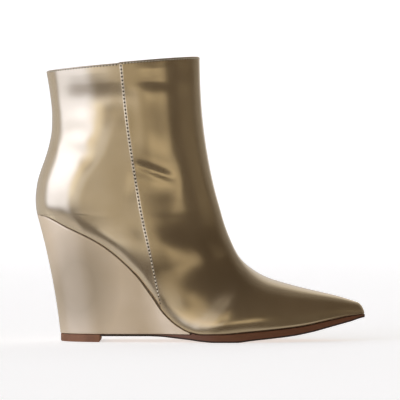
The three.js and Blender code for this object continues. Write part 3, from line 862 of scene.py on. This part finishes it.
def add_painted_shade_spot(nodes, links, colour, centre, reach, shade):
    """Paints shade on a colour: multiplies it by a shade over a soft round patch, seen from the side: centre
    and reach hold its X and Z. Returns the result."""
    place = nodes.new("ShaderNodeTexCoord")
    mapping = nodes.new("ShaderNodeMapping")
    mapping.vector_type = "TEXTURE"
    mapping.inputs["Location"].default_value = (centre[0], 0, centre[1])
    mapping.inputs["Scale"].default_value = (reach[0], 1, reach[1])
    links.new(place.outputs["Object"], mapping.inputs["Vector"])
    flat = nodes.new("ShaderNodeVectorMath")
    flat.operation = "MULTIPLY"
    flat.inputs[1].default_value = (1, 0, 1)
    links.new(mapping.outputs["Vector"], flat.inputs[0])
    away = nodes.new("ShaderNodeVectorMath")
    away.operation = "LENGTH"
    links.new(flat.outputs["Vector"], away.inputs[0])
    inside = add_range(nodes, links, away.outputs["Value"], 0.4, 1, 1, 0)
    return add_colour_mix(nodes, links, inside, colour, shade, "MULTIPLY")


def metallic_leather(name, light, dark, metal, roughness, sewn, painted_shade_spots):
    """Leather under a smooth metal foil and a clear gloss: a colour that clouds slowly, with painted shade over
    the round spots given, a faint grain and waviness under the foil, a gloss that follows the waviness alone,
    and needle holes along each line of stitches, with their shade painted near black."""
    material, nodes, links, shader = new_material(name)
    grain = add_grain(nodes, cell_scale=1100, cloud_scale=38)
    shade = add_range(nodes, links, grain.outputs["Cloud"], 0.3, 0.7, 0, 1)
    colour = add_colour_mix(nodes, links, shade, dark, light)
    # Painted shade: each spot darkens the colour.
    for patch in painted_shade_spots:
        colour = add_painted_shade_spot(nodes, links, colour, *patch)
    waves = nodes.new("ShaderNodeTexNoise")
    waves.inputs["Scale"].default_value = 55
    waves.inputs["Detail"].default_value = 1.5
    place = nodes.new("ShaderNodeTexCoord")
    links.new(place.outputs["Object"], waves.inputs["Vector"])
    wavy = add_bump(nodes, links, waves.outputs["Fac"], distance=0.0003, strength=0.25)
    normal = add_bump(nodes, links, grain.outputs["Height"], distance=0.00003, strength=0.3, under=wavy)
    for label, pitch, inset, depth in sewn:
        holes = add_holes(nodes, links, label, pitch, inset, depth)
        # Painted shade: the holes are coloured near black by their mask.
        colour = add_colour_mix(nodes, links, holes.outputs["Mask"], colour, hole_shade_colour)
        normal = add_bump(nodes, links, holes.outputs["Height"], distance=1, strength=1, under=normal)
    links.new(colour, shader.inputs["Base Color"])
    links.new(normal, shader.inputs["Normal"])
    links.new(wavy, shader.inputs["Coat Normal"])
    rough = add_range(nodes, links, grain.outputs["Cloud"], 0.3, 0.7, roughness * 0.88, roughness * 1.12)
    links.new(rough, shader.inputs["Roughness"])
    shader.inputs["Metallic"].default_value = metal
    shader.inputs["Coat Weight"].default_value = 0.5
    shader.inputs["Coat Roughness"].default_value = 0.13
    return material


front_panel.data.materials.append(
    metallic_leather(
        "front_gold",
        light=(0.7, 0.57, 0.375),
        dark=(0.63, 0.505, 0.325),
        metal=0.9,
        roughness=0.2,
        sewn=[
            ("seam", seam_stitch_pitch, seam_stitch_inset, furrow_depth),
            ("hem", hem_stitch_pitch, hem_stitch_inset, furrow_depth / 2),
        ],
        # A soft darker spot over the lower front panel and the vamp: painted shade, for the darker reflections
        # there.
        painted_shade_spots=[((0.008, 0.052), (0.062, 0.05), (0.74, 0.72, 0.7))],
    )
)
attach(front_panel, "root")
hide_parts("upper")

# The rear panel: one piece of the same leather round the heel, moulded to it by a stiffener. Its front edges
# are tucked under the front panel, and its lower edge is pulled under the inner sole and glued.
lap = 0.005
seam_step = 0.0007
seam_fade = 0.012
rear_columns = 52
before_heel = 1.2
after_heel = 0.8
rear_corner = corner_row(lap)
rear_rows = np.concatenate([
    spread_rows(
        (rear_corner, heel_row - before_heel, 60, 0),
        (heel_row - before_heel, heel_row, 26, 0),
        (heel_row, heel_row + after_heel, 20, 0),
        (heel_row + after_heel, top_row - hem_rows, 76, 0),
    )[:-1],
    top_rows(top_row),
])


def rear_half(side):
    """One side of the rear panel, from under the front panel to the sole or the middle of the back."""
    near = feather_distance(rear_rows)
    far = np.maximum(seam_distance(rear_rows, lap), near)
    shares = edge_shares(rear_columns, edge_reach, panel_edge_steps)
    points = row_points(rear_rows, side, near, far, shares)[0]
    normals = side_normals(points, rear_rows, side)
    at_back = (near < tiny)[:, None]
    middle = normals[:, -1] * np.array([1, 0, 1])
    normals[:, -1] = np.where(at_back, unit(middle), normals[:, -1])
    behind = np.maximum(seam_x(points[..., 2]) - points[..., 0], 0) / seam_fade
    dip = seam_step * np.exp(-behind * behind) + wear(points)
    points = points - normals * dip[..., None]
    from_foot = np.where(at_back, 1.0, arc_from(points, True))
    from_top = below_crest(rear_rows, top_row) + 0 * from_foot
    outer, inner = panel_layers(points, normals, from_top, from_foot)
    from_seam = np.abs(seam_x(points[..., 2]) - points[..., 0])
    run = seam_run(points[:, 0])[:, None]
    maps = stitch_maps(points, run, from_seam, from_top, rear_rows > rear_corner)
    return np.stack([outer, inner]), maps, points, normals


def first_back_row(rows):
    """The index of the first section whose two sides meet at the back."""
    return int(np.argmax(feather_distance(rows) < tiny))


rear_lateral, lateral_maps, lateral_points, lateral_normals = rear_half(-1)
rear_medial, medial_maps, medial_points, medial_normals = rear_half(1)
rear_faces = shell_faces(*rear_lateral.shape[1:3], joined_last_from=first_back_row(rear_rows))
rear_panel = make_piece(
    "rear_panel",
    np.stack([rear_lateral, rear_medial]),
    np.concatenate([rear_faces, rear_faces[:, ::-1] + rear_lateral[..., 0].size]),
    {
        label: np.stack([lateral_maps[label]] * 2 + [medial_maps[label]] * 2)
        for label in ("seam", "hem")
    },
)

rear_panel.data.materials.append(
    # The rear panel is the same leather as the front one, but its colours are paler and whiter than the front
    # panel's: painted light, on the side of the boot that faces the windows on the left.
    metallic_leather(
        "rear_gold",
        light=(0.82, 0.7, 0.52),
        dark=(0.75, 0.63, 0.455),
        metal=0.9,
        roughness=0.2,
        sewn=[("hem", hem_stitch_pitch, hem_stitch_inset, furrow_depth / 2)],
        painted_shade_spots=[],
    )
)
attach(rear_panel, "root")
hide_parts("upper")

# The lining: thin pale leather, glued over the whole inside. It is cut a little short of the top line, where
# the panels' hem is folded over it.
lining_skin = 0.0006
lining_drop = 0.0025
lining_first_row = 0.9
lining_columns = 46
lining_rows = spread_rows(
    (lining_first_row, heel_row - before_heel, 70, 0),
    (heel_row - before_heel, heel_row, 24, 1),
    (heel_row, heel_row + after_heel, 18, -1),
    (heel_row + after_heel, top_row - rows_of(lining_drop), 70, 0),
)


def lining_half(side):
    """One side of the lining, from the front edge to the sole or the back, with its two faces."""
    near = feather_distance(lining_rows)
    even = np.linspace(0, 1, lining_columns)[None, :]
    points = row_points(lining_rows, side, near, row_reach(lining_rows), lambda way: even + 0 * way)[0]
    normals = side_normals(points, lining_rows, side)
    flat = np.array([1, 0, 1])
    normals[:, 0] = unit(normals[:, 0] * flat)
    at_back = (near < tiny)[:, None]
    normals[:, -1] = np.where(at_back, unit(normals[:, -1] * flat), normals[:, -1])
    points = points - normals * wear(points)[..., None]
    return np.stack([points - normals * (wall - lining_skin), points - normals * wall])


lining_sides = np.stack([lining_half(-1), lining_half(1)])
lining_faces = shell_faces(*lining_sides.shape[2:4], True, first_back_row(lining_rows))
lining = make_piece(
    "lining",
    lining_sides,
    np.concatenate([lining_faces, lining_faces[:, ::-1] + lining_sides[0, ..., 0].size]),
)

lining.data.materials.append(
    soft_leather("lining_leather", light=(0.66, 0.53, 0.38), dark=(0.58, 0.45, 0.31), roughness=0.55)
)
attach(lining, "root")
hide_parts("upper")

# The stitches: waxed thread, in a row beside each side seam that holds the two panels together, and in
# another round the top line that holds the folded hem down. Each is a short straight stitch between two holes.
stitch_share = 0.5
thread_radius = 0.00036
thread_flatness = 0.6
thread_rise = 0.1
thread_taper = 2.5
thread_aim = 1 / 9
stitch_rings = 7
stitch_sides = 8
seam_stitch_first_row = 0.12
front_hem_shares = (0.02, 0.98)
rear_hem_shares = (0.09, 1)


def stitch_line(points, normals, run, pitch):
    """Short threads along a line of points: capsules half way between the holes, which lie at whole pitches
    of the run, each along the line's own direction and half sunk in the leather."""
    centre = (np.arange(np.ceil(run[0] / pitch), np.floor(run[-1] / pitch)) + 0.5) * pitch
    place = np.stack([np.interp(centre, run, points[:, k]) for k in range(3)], axis=-1)
    up = unit(np.stack([np.interp(centre, run, normals[:, k]) for k in range(3)], axis=-1))
    ahead = np.stack([np.interp(centre + pitch * thread_aim, run, points[:, k]) for k in range(3)], axis=-1)
    along = unit(ahead - place)
    sideways = np.cross(up, along)
    turn = np.linspace(0, 2 * np.pi, stitch_sides, endpoint=False)[None, :]
    reach = np.linspace(-1, 1, stitch_rings)[:, None]
    thick = closing(1 - np.abs(reach) ** thread_taper) * thread_radius
    lengthways = reach * pitch * stitch_share / 2 + 0 * turn
    height = thick * np.sin(turn) * thread_flatness + thread_radius * thread_rise
    width = thick * np.cos(turn)
    offset = (
        lengthways[..., None] * along[:, None, None]
        + width[..., None] * sideways[:, None, None]
        + height[..., None] * up[:, None, None]
    )
    return place[:, None, None] + offset


def stitch_piece(name, lines):
    """One joined mesh of all the stitches of some lines."""
    stitches = np.concatenate([stitch_line(*line) for line in lines])
    around = grid_faces(stitch_rings, stitch_sides, closed=True)
    first = np.arange(len(stitches))[:, None, None] * stitch_rings * stitch_sides
    return make_piece(name, stitches, (around[None] + first).reshape(-1, 4))


def line_inside(grid, normals, distance, wanted, from_first):
    """Points and normals of a grid at a distance from one end of each of its rows, by interpolation."""
    order = slice(None) if from_first else slice(None, None, -1)
    both = np.concatenate([grid, normals], axis=2)[:, order]
    away = distance[:, order]
    found = np.array([
        [np.interp(wanted, steps, values[:, k]) for k in range(6)]
        for steps, values in zip(away, both)
    ])
    return found[:, :3], unit(found[:, 3:])


def front_seam_lines():
    """The two lines of stitches on the front panel beside its seams, from the sole to under the hem."""
    from_first = arc_from(front_grid)
    from_last = arc_from(front_grid, True)
    first = int(np.searchsorted(front_rows, front_corner + seam_stitch_first_row))
    last = int(np.searchsorted(front_rows, front_crest - rows_of(hem_stitch_inset)))
    lines = []
    for away, start, run in ((from_first, True, edge_runs[0]), (from_last, False, edge_runs[1])):
        points, normals = line_inside(front_grid, front_normals, away, seam_stitch_inset, start)
        lines.append((points[first:last], normals[first:last], run[first:last], seam_stitch_pitch))
    return lines


seam_stitches = stitch_piece("seam_stitches", front_seam_lines())


def hem_line(grid, normals, rows, crest, near, far):
    """A line of stitches just below a panel's top edge, between two shares of its columns."""
    i = int(np.searchsorted(rows, crest - rows_of(hem_stitch_inset)))
    keep = slice(int(near * grid.shape[1]), int(far * grid.shape[1]))
    return grid[i, keep], normals[i, keep], arc_from(grid)[-1, keep], hem_stitch_pitch


def hem_lines():
    """The stitches below the top line: one line across the front panel, one on each side of the rear one."""
    lines = [hem_line(front_grid, front_normals, front_rows, front_crest, *front_hem_shares)]
    for points, normals in ((lateral_points, lateral_normals), (medial_points, medial_normals)):
        lines.append(hem_line(points, normals, rear_rows, top_row, *rear_hem_shares))
    return lines


hem_stitches = stitch_piece("hem_stitches", hem_lines())


def sewing_thread():
    """Twisted polyester thread: fine diagonal ply on a warm beige, with a little gloss."""
    material, nodes, links, shader = new_material("sewing_thread")
    ply = nodes.new("ShaderNodeTexWave")
    ply.bands_direction = "DIAGONAL"
    ply.inputs["Scale"].default_value = 900
    place = nodes.new("ShaderNodeTexCoord")
    links.new(place.outputs["Object"], ply.inputs["Vector"])
    links.new(
        add_colour_mix(nodes, links, ply.outputs["Fac"], (0.8, 0.69, 0.52), (0.95, 0.87, 0.7)),
        shader.inputs["Base Color"],
    )
    shader.inputs["Roughness"].default_value = 0.45
    twist = add_bump(nodes, links, ply.outputs["Fac"], distance=0.00006, strength=0.6)
    links.new(twist, shader.inputs["Normal"])
    return material


thread = sewing_thread()
for stitches in (seam_stitches, hem_stitches):
    stitches.data.materials.append(thread)
    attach(stitches, "root")
    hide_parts("upper")

# The wedge: a light moulding under the heel and arch, wrapped in the same metallic leather, which is pulled
# tight over it and a little duller than the upper. It is glued and nailed to the lasted upper from inside.
wedge_lean = 0.0181
wedge_base_width = 0.049
wedge_hollow = 0.0019
wedge_tail = 0.0009
wedge_edge = 0.0005
feather_hair = 0.0001
wedge_steps = 130
wedge_levels = 46
wedge_across = 8
wedge_spread = 0.9
slope_step = 1e-6
rounding_steps = 7
margin_growth = 4
clearance = 0.0003
wedge_base = outsole_thickness + clearance
base_back_x = -boot_length / 2 + wedge_lean


def feather_gap(x):
    """A hair's gap square to the feather line, measured straight down."""
    slope = (feather_z(x + slope_step) - feather_z(x - slope_step)) / (2 * slope_step)
    return feather_hair * np.hypot(1, slope)


tail_z = wedge_base + clearance + wedge_tail
tail_share = float(find_end(0.2, 0.5, lambda share: feather_z(heel_x + share * foot_length) > tail_z))
tail_step = float(np.arccos(1 - 2 * tail_share) / np.pi)
tail_x = heel_x + tail_share * foot_length


def ground_point(step, side, inset, margin=edge_margin):
    """The outline of what stands on the floor: the wedge's base, narrower and shorter than the heel, up to
    its tail, and then the outsole's edge, a little wider than the upper."""
    from_tail = (step - tail_step) / (1 - tail_step)
    grown = margin * smooth_step(from_tail * margin_growth) * smooth_step((1 - step) * margin_growth)
    full_x, full_y = outline_point(step, side, inset - grown)
    along = np.clip((1 - np.cos(np.pi * step)) / 2 / tail_share, 0, 1)
    base_x = mix(base_back_x + inset * (1 - along), tail_x, along)
    base_y = full_y * mix(wedge_base_width / seat_width, 1, along)
    under_wedge = step <= tail_step
    return np.where(under_wedge, base_x, full_x), np.where(under_wedge, base_y, full_y)


def wedge_point(step, side, height, inset, lift):
    """A point of the wedge's side: between its base and its top outline, hollowed like a shallow bow, drawn
    in by an inset and raised by a lift."""
    top_x, top_y = outline_point(step, side, inset)
    base_x, base_y = ground_point(step, side, inset, 0)
    top_z = feather_z(top_x) - feather_gap(top_x)
    hollow = 4 * height * (1 - height) * wedge_hollow * (1 - step / tail_step)
    x = mix(base_x, top_x, height) + hollow
    y = mix(base_y, top_y, height) - side * hollow * step
    z = mix(wedge_base, top_z, height) + lift
    return np.stack(np.broadcast_arrays(x, y, z), axis=-1)


def wedge_side(side):
    """One side of the wedge, from the middle of its top over a rounded edge, down, and in under its base."""
    step = np.linspace(0, 1, wedge_steps)[:, None] ** wedge_spread * tail_step
    thin = np.minimum(wedge_edge, (feather_z(outline_point(step, side, 0)[0]) - wedge_base) / 3)
    turn = np.linspace(0, np.pi / 2, rounding_steps)[None, :]
    over = wedge_point(step, side, 1, thin * (1 - np.sin(turn)), -thin * (1 - np.cos(turn)))
    level = np.linspace(1, 0, wedge_levels)[None, 1:-1]
    lower = thin * (0.5 - level) * 2
    down = wedge_point(step, side, level, 0, lower)
    under = wedge_point(step, side, 0, thin * (1 - np.cos(turn)), thin * (1 - np.sin(turn)))
    centre = centre_y(over[:, 0, 0])

    def cap(edge):
        share = np.linspace(0, 1, wedge_across)[None, :-1, None]
        inner = edge.copy()
        inner[:, 1] = centre
        return mix(inner[:, None], edge[:, None], share)

    return np.concatenate([cap(over[:, 0]), over, down, under, cap(under[:, -1])[:, ::-1]], axis=1)


def side_and_side(lateral, medial):
    """A closed ring of columns: down one side, and back up the other."""
    return np.concatenate([lateral, medial[:, -2:0:-1]], axis=1)


def ring_faces(rows, columns):
    """Quads round a ring of columns, with the first and last rows closed by strips from side to side."""
    across = np.arange(columns // 2)
    mirrored = (columns - across) % columns
    strip = np.stack([across, across + 1, mirrored - 1, mirrored], axis=-1) % columns
    last_strip = strip[:, ::-1] + (rows - 1) * columns
    return np.concatenate([grid_faces(rows, columns, closed=True), strip, last_strip])


wedge_grid = side_and_side(wedge_side(-1), wedge_side(1))
wedge = make_piece("wedge_cover", wedge_grid, ring_faces(*wedge_grid.shape[:2]))
wedge.data.materials.append(
    # The wedge's colours are paler than the upper's: painted light, for its brightly lit front. The darker
    # round spot over its back is painted shade.
    metallic_leather(
        "wedge_gold",
        light=(0.97, 0.81, 0.61),
        dark=(0.9, 0.74, 0.54),
        metal=0.65,
        roughness=0.44,
        sewn=[],
        painted_shade_spots=[((-0.089, 0.04), (0.032, 0.046), (0.64, 0.63, 0.6))],
    )
)
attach(wedge, "root")
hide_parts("wedge")

# The outsole: thin leather board with a stained edge, as thick as its edge shows in front of the wedge and
# skived thin under it. Its lower corner is bevelled, and the forepart is roughed by the first steps.
toe_spring = 0.0174
shank_thickness = 0.0013
edge_bevel = 0.0013
tip_length = 0.03
sole_steps = 170
bevel_steps = 8
sole_start = 0.002
sole_levels = 14
sole_across = 14

tread_share = [0, .33, .376, .42, .466, .5, .54, .605, .65, .71, .772, .833, .893, .955, 1]
tread_lift = [1, 1, .92, .67, .4, .15, 0, 0, 0, 0, 0, 0, 0, 0, 0]
tread_spring = [0, 0, 0, 0, 0, 0, 0, 0, .07, .15, .24, .39, .595, .81, .97]
tread_lift_at = level_curve(tread_share, tread_lift)
tread_spring_at = level_curve(tread_share, tread_spring)
tip_front_x = base_back_x + tip_length


def tread_z(x):
    """Height of the outsole's underside: the shank's lift plus the toe's spring."""
    share = (x - heel_x) / foot_length
    shank_lift = outsole_thickness - shank_thickness
    return shank_lift * tread_lift_at(share) + toe_spring * tread_spring_at(share)


def outsole_top_z(x):
    """Height of the outsole's top: level under the wedge, then up to the feather line behind its tail."""
    ramp = smooth_step((x - tail_x - clearance) / wedge_tail)
    return mix(outsole_thickness, feather_z(x) - feather_gap(x), ramp)


def step_at_ground(x):
    """The outline's step at a place along the wedge's base."""
    return float(np.arccos(1 - 2 * tail_share * (x - base_back_x) / (tail_x - base_back_x)) / np.pi)


def sole_side(side):
    """One side of the outsole: from the middle of its top out to the edge, down it, round the bevel, and in
    along the tread to the middle."""
    behind = np.linspace(step_at_ground(tip_front_x + clearance), tail_step, sole_steps // 3)
    ahead = np.linspace(np.arccos(1 - 2 * (tail_share + sole_start)) / np.pi, 1, sole_steps)
    step = np.concatenate([behind, ahead])[:, None]
    edge_x = ground_point(step, side, 0)[0]
    tall = outsole_top_z(edge_x) - tread_z(edge_x)
    bevel = np.minimum(edge_bevel, tall / 3)
    down = np.linspace(1, 0, sole_levels)[None, :]
    turn = np.linspace(0, np.pi / 2, bevel_steps)[None, 1:]
    inset = np.concatenate([0 * down + 0 * bevel, bevel * (1 - np.cos(turn))], axis=1)
    height = np.concatenate([bevel + (tall - bevel) * down, bevel * (1 - np.sin(turn))], axis=1)
    x, y = ground_point(step, side, inset)
    past = side * (y - centre_y(x)) < 0
    x = np.where(past, edge_x, x)
    y = np.where(past, centre_y(edge_x), y)
    rim = np.stack([x, y, tread_z(x) + height], axis=-1)
    share = np.linspace(0, 1, sole_across)[None, :-1]

    def cap(edge, level_of):
        flat_y = mix(centre_y(edge[:, 0]), edge[:, 1], share.T).T
        flat_x = np.broadcast_to(edge[:, :1], flat_y.shape)
        return np.stack([flat_x, flat_y, level_of(flat_x)], axis=-1)

    top = cap(rim[:, 0], outsole_top_z)
    bottom = cap(rim[:, -1], tread_z)[:, ::-1]
    bottom[..., 2] += (rim[:, -1, 2] - tread_z(rim[:, -1, 0]))[:, None]
    above = np.concatenate([0 * share + tall, height, 0 * share + 0 * tall], axis=1)
    return np.concatenate([top, rim, bottom], axis=1), above


sole_lateral, above_lateral = sole_side(-1)
sole_medial, above_medial = sole_side(1)
sole_grid = side_and_side(sole_lateral, sole_medial)
sole_above = side_and_side(above_lateral, above_medial)
outsole = make_piece(
    "outsole_board",
    sole_grid,
    ring_faces(*sole_grid.shape[:2]),
    {"edge": np.stack([sole_above, sole_grid[..., 0]], axis=-1)},
)


def sole_leather(name, edge, foot, tread):
    """A stained and waxed edge with the board's faint layers, painted shade on the bevel at its foot, and a
    tread that is brushed and lightly scuffed."""
    material, nodes, links, shader = new_material(name)
    grain = add_grain(nodes, cell_scale=900, cloud_scale=130)
    place = nodes.new("ShaderNodeUVMap")
    place.uv_map = "edge"
    split = nodes.new("ShaderNodeSeparateXYZ")
    links.new(place.outputs["UV"], split.inputs[0])
    height = split.outputs["X"]
    layers = nodes.new("ShaderNodeTexNoise")
    layers.inputs["Scale"].default_value = 90
    layers.inputs["Detail"].default_value = 3
    stretch = nodes.new("ShaderNodeMapping")
    stretch.inputs["Scale"].default_value = (25, 1, 0)
    links.new(place.outputs["UV"], stretch.inputs["Vector"])
    links.new(stretch.outputs["Vector"], layers.inputs["Vector"])
    streaks = add_range(nodes, links, layers.outputs["Fac"], 0.3, 0.7, 0, 1)
    warm = add_colour_mix(nodes, links, streaks, edge, tuple(1.3 * c for c in edge))
    # Painted shade: the bevel at the foot of the edge turns to the near black foot colour.
    bevelled = add_range(nodes, links, height, edge_bevel * 1.1, edge_bevel * 0.75, 0, 1)
    lower = add_colour_mix(nodes, links, bevelled, warm, foot)
    trodden = add_range(nodes, links, height, 0.0002, 0.00005, 0, 1)
    links.new(add_colour_mix(nodes, links, trodden, lower, tread), shader.inputs["Base Color"])
    rough = add_range(nodes, links, height, 0.0001, 0.002, 0.7, 0.42)
    links.new(rough, shader.inputs["Roughness"])
    grained = add_bump(nodes, links, grain.outputs["Height"], distance=0.00015, strength=0.4)
    links.new(grained, shader.inputs["Normal"])
    return material


outsole.data.materials.append(
    sole_leather(
        "sole_leather",
        edge=(0.13, 0.045, 0.016),
        # The near black foot colour is painted shade on the bevel.
        foot=(0.016, 0.007, 0.004),
        tread=(0.36, 0.22, 0.13),
    )
)
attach(outsole, "root")
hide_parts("outsole")

# The heel tip: a moulded rubber piece under the back of the wedge, pinned and glued, that takes the wear.
tip_bevel = 0.0008
tip_inset = 0.0004
tip_steps = 70
tip_levels = 8
tip_across = 8
tip_round_inset = [0.0003, 0.0001, 0]
tip_round_drop = [0, 0.0001, 0.0003]
tip_side_drop = 0.0006


def tip_side(side):
    """One side of the heel tip: from the middle of its top out to the edge, down, round the lower corner and
    in under it to the middle."""
    step = np.linspace(0, step_at_ground(tip_front_x), tip_steps)[:, None]
    turn = np.linspace(0, np.pi / 2, rounding_steps)[None, :]
    inset = np.concatenate([
        [tip_round_inset],
        np.zeros((1, tip_levels)),
        tip_bevel * (1 - np.cos(turn)),
    ], axis=1)
    height = np.concatenate([
        [outsole_thickness - np.array(tip_round_drop)],
        np.linspace(outsole_thickness - tip_side_drop, tip_bevel * 1.1, tip_levels)[None, :],
        tip_bevel * (1 - np.sin(turn)),
    ], axis=1)
    x, y = ground_point(step, side, tip_inset + inset, 0)
    x = np.minimum(x, tip_front_x - tip_inset - inset)
    rim = np.stack(np.broadcast_arrays(x, y, height), axis=-1)
    share = np.linspace(0, 1, tip_across)[None, :-1, None]

    def cap(edge):
        return mix(edge[:, None] * np.array([1, 0, 1]), edge[:, None], share)

    return np.concatenate([cap(rim[:, 0]), rim, cap(rim[:, -1])[:, ::-1]], axis=1)


tip_grid = side_and_side(tip_side(-1), tip_side(1))
heel_tip = make_piece("heel_tip", tip_grid, ring_faces(*tip_grid.shape[:2]))


def moulded_rubber(name, light, dark):
    """Brown rubber with a fine matt grain and a slow change of shade."""
    material, nodes, links, shader = new_material(name)
    grain = add_grain(nodes, cell_scale=2200, cloud_scale=150)
    shade = add_range(nodes, links, grain.outputs["Cloud"], 0.35, 0.65, 0, 1)
    links.new(add_colour_mix(nodes, links, shade, dark, light), shader.inputs["Base Color"])
    shader.inputs["Roughness"].default_value = 0.5
    grained = add_bump(nodes, links, grain.outputs["Height"], distance=0.00008, strength=0.4)
    links.new(grained, shader.inputs["Normal"])
    return material


heel_tip.data.materials.append(
    moulded_rubber("tip_rubber", light=(0.27, 0.115, 0.05), dark=(0.21, 0.085, 0.036))
)
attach(heel_tip, "root")
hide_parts("top_piece")

# The studio: a pale sweep of paper, level under the boot and curved up behind it, with large soft windows of
# light on the left, a warm fill beside the camera and a dark room on the right. The camera stands far off at
# half the boot's height.
sweep_depth = 6.0
sweep_bend = 0.9
sweep_width = 9.0
sweep_height = 5.0
camera_distance = 2.2
camera_height = 0.10295
camera_x = -0.00041
frame_width = 0.2928
sensor = 36


def studio_sweep():
    """A level floor that turns up behind the boot on a quarter circle into a wall."""
    turn = np.linspace(0, np.pi / 2, 40)[1:]
    floor_y = np.linspace(-camera_distance - 1, sweep_depth - sweep_bend, 30)
    wall_z = np.linspace(sweep_bend, sweep_height, 20)[1:]
    bend_y = sweep_depth - sweep_bend + sweep_bend * np.sin(turn)
    y = np.concatenate([floor_y, bend_y, sweep_depth + 0 * wall_z])
    z = np.concatenate([0 * floor_y, sweep_bend * (1 - np.cos(turn)), wall_z])
    x = np.linspace(-sweep_width / 2, sweep_width / 2, 24)[:, None]
    points = np.stack(np.broadcast_arrays(x, y, z), axis=-1)
    return make_piece("studio_sweep", points, grid_faces(*points.shape[:2]), merge=False)


sweep = studio_sweep()
paper, _, _, paper_shader = new_material("paper")
paper_shader.inputs["Base Color"].default_value = (0.85, 0.85, 0.85, 1)
paper_shader.inputs["Roughness"].default_value = 0.9
paper_shader.inputs["Emission Color"].default_value = (1, 1, 1, 1)
paper_shader.inputs["Emission Strength"].default_value = 0.56
sweep.data.materials.append(paper)
sweep.visible_glossy = False

# Each window of light: azimuths from and to (0 is the camera's side, 90 the boot's back), elevations from and
# to, how soft its edges are, all in degrees, its brightness and its colour.
cool, plain, warm = (0.93, 1.02, 1.3), (1, 0.99, 0.97), (1.0, 0.9, 0.68)
windows = [
    (33, 93, -10, 40, 7, 1.18, cool),
    (34, 97, 11, 42, 9, 0.5, cool),
    (64, 92, -16, -6, 5, 0.2, cool),
    (96, 175, -60, 40, 10, 0.42, plain),
    (26, 104, -90, -19, 7, 0.42, plain),
    (7, 33, -5, 8, 6, 0.76, plain),
    (4, 33, 16, 36, 7, 0.5, warm),
    (19, 33, 5, 18, 6, 0.75, warm),
    (-8, 8, -7, 5, 5, 0.4, warm),
    (-3, 8, 5, 26, 5, 0.36, warm),
    (-30, -8, -7, 3.6, 2.5, 0.66, warm),
    (-39, -29, -6, 7, 3, 0.5, warm),
    (10, 33, -40, -16, 8, 0.05, plain),
    (-95, -62, 5, 19, 6, 0.08, warm),
    (-180, 20, -90, -36, 7, 0.3, plain),
    (-172, -112, -5, 60, 22, 0.22, plain),
    (-180, -150, -5, 50, 12, 0.6, plain),
    (20, 175, 44, 90, 10, 0.45, plain),
]
dark_room = (0.1, 0.075, 0.05)


def studio_world():
    """A world that is a dark room with the windows of light set in it, each with soft edges."""
    world = bpy.data.worlds.new("studio")
    world.use_nodes = True
    nodes, links = world.node_tree.nodes, world.node_tree.links

    def maths(operation, *values):
        return add_maths(nodes, links, operation, *values)

    place = nodes.new("ShaderNodeTexCoord")
    split = nodes.new("ShaderNodeSeparateXYZ")
    links.new(place.outputs["Generated"], split.inputs[0])
    left = maths("MULTIPLY", split.outputs["X"], -1)
    near = maths("MULTIPLY", split.outputs["Y"], -1)
    azimuth = maths("DEGREES", maths("ARCTAN2", left, near))
    elevation = maths("DEGREES", maths("ARCSINE", split.outputs["Z"]))

    def edge(value, low, high):
        ranged = nodes.new("ShaderNodeMapRange")
        ranged.interpolation_type = "SMOOTHSTEP"
        ranged.inputs["From Min"].default_value = low
        ranged.inputs["From Max"].default_value = high
        links.new(value, ranged.inputs["Value"])
        return ranged.outputs["Result"]

    light = dark_room
    for first, last, low, high, soft, strength, colour in windows:
        across = maths(
            "MULTIPLY",
            edge(azimuth, first - soft, first + soft),
            edge(azimuth, last + soft, last - soft),
        )
        upward = maths(
            "MULTIPLY",
            edge(elevation, low - soft, low + soft),
            edge(elevation, high + soft, high - soft),
        )
        amount = maths("MULTIPLY", maths("MULTIPLY", across, upward), strength)
        light = add_colour_mix(nodes, links, amount, light, colour, "ADD")
    links.new(light, nodes["Background"].inputs["Color"])
    return world


bpy.context.scene.world = studio_world()
bpy.context.scene.view_settings.view_transform = "Standard"

camera = bpy.data.objects.new("camera", bpy.data.cameras.new("camera"))
camera.location = (camera_x, -camera_distance, camera_height)
camera.rotation_euler = (np.pi / 2, 0, 0)
camera.data.sensor_width = sensor
camera.data.lens = sensor * camera_distance / frame_width
camera.data.clip_end = 50
bpy.context.scene.collection.objects.link(camera)
bpy.context.scene.camera = camera
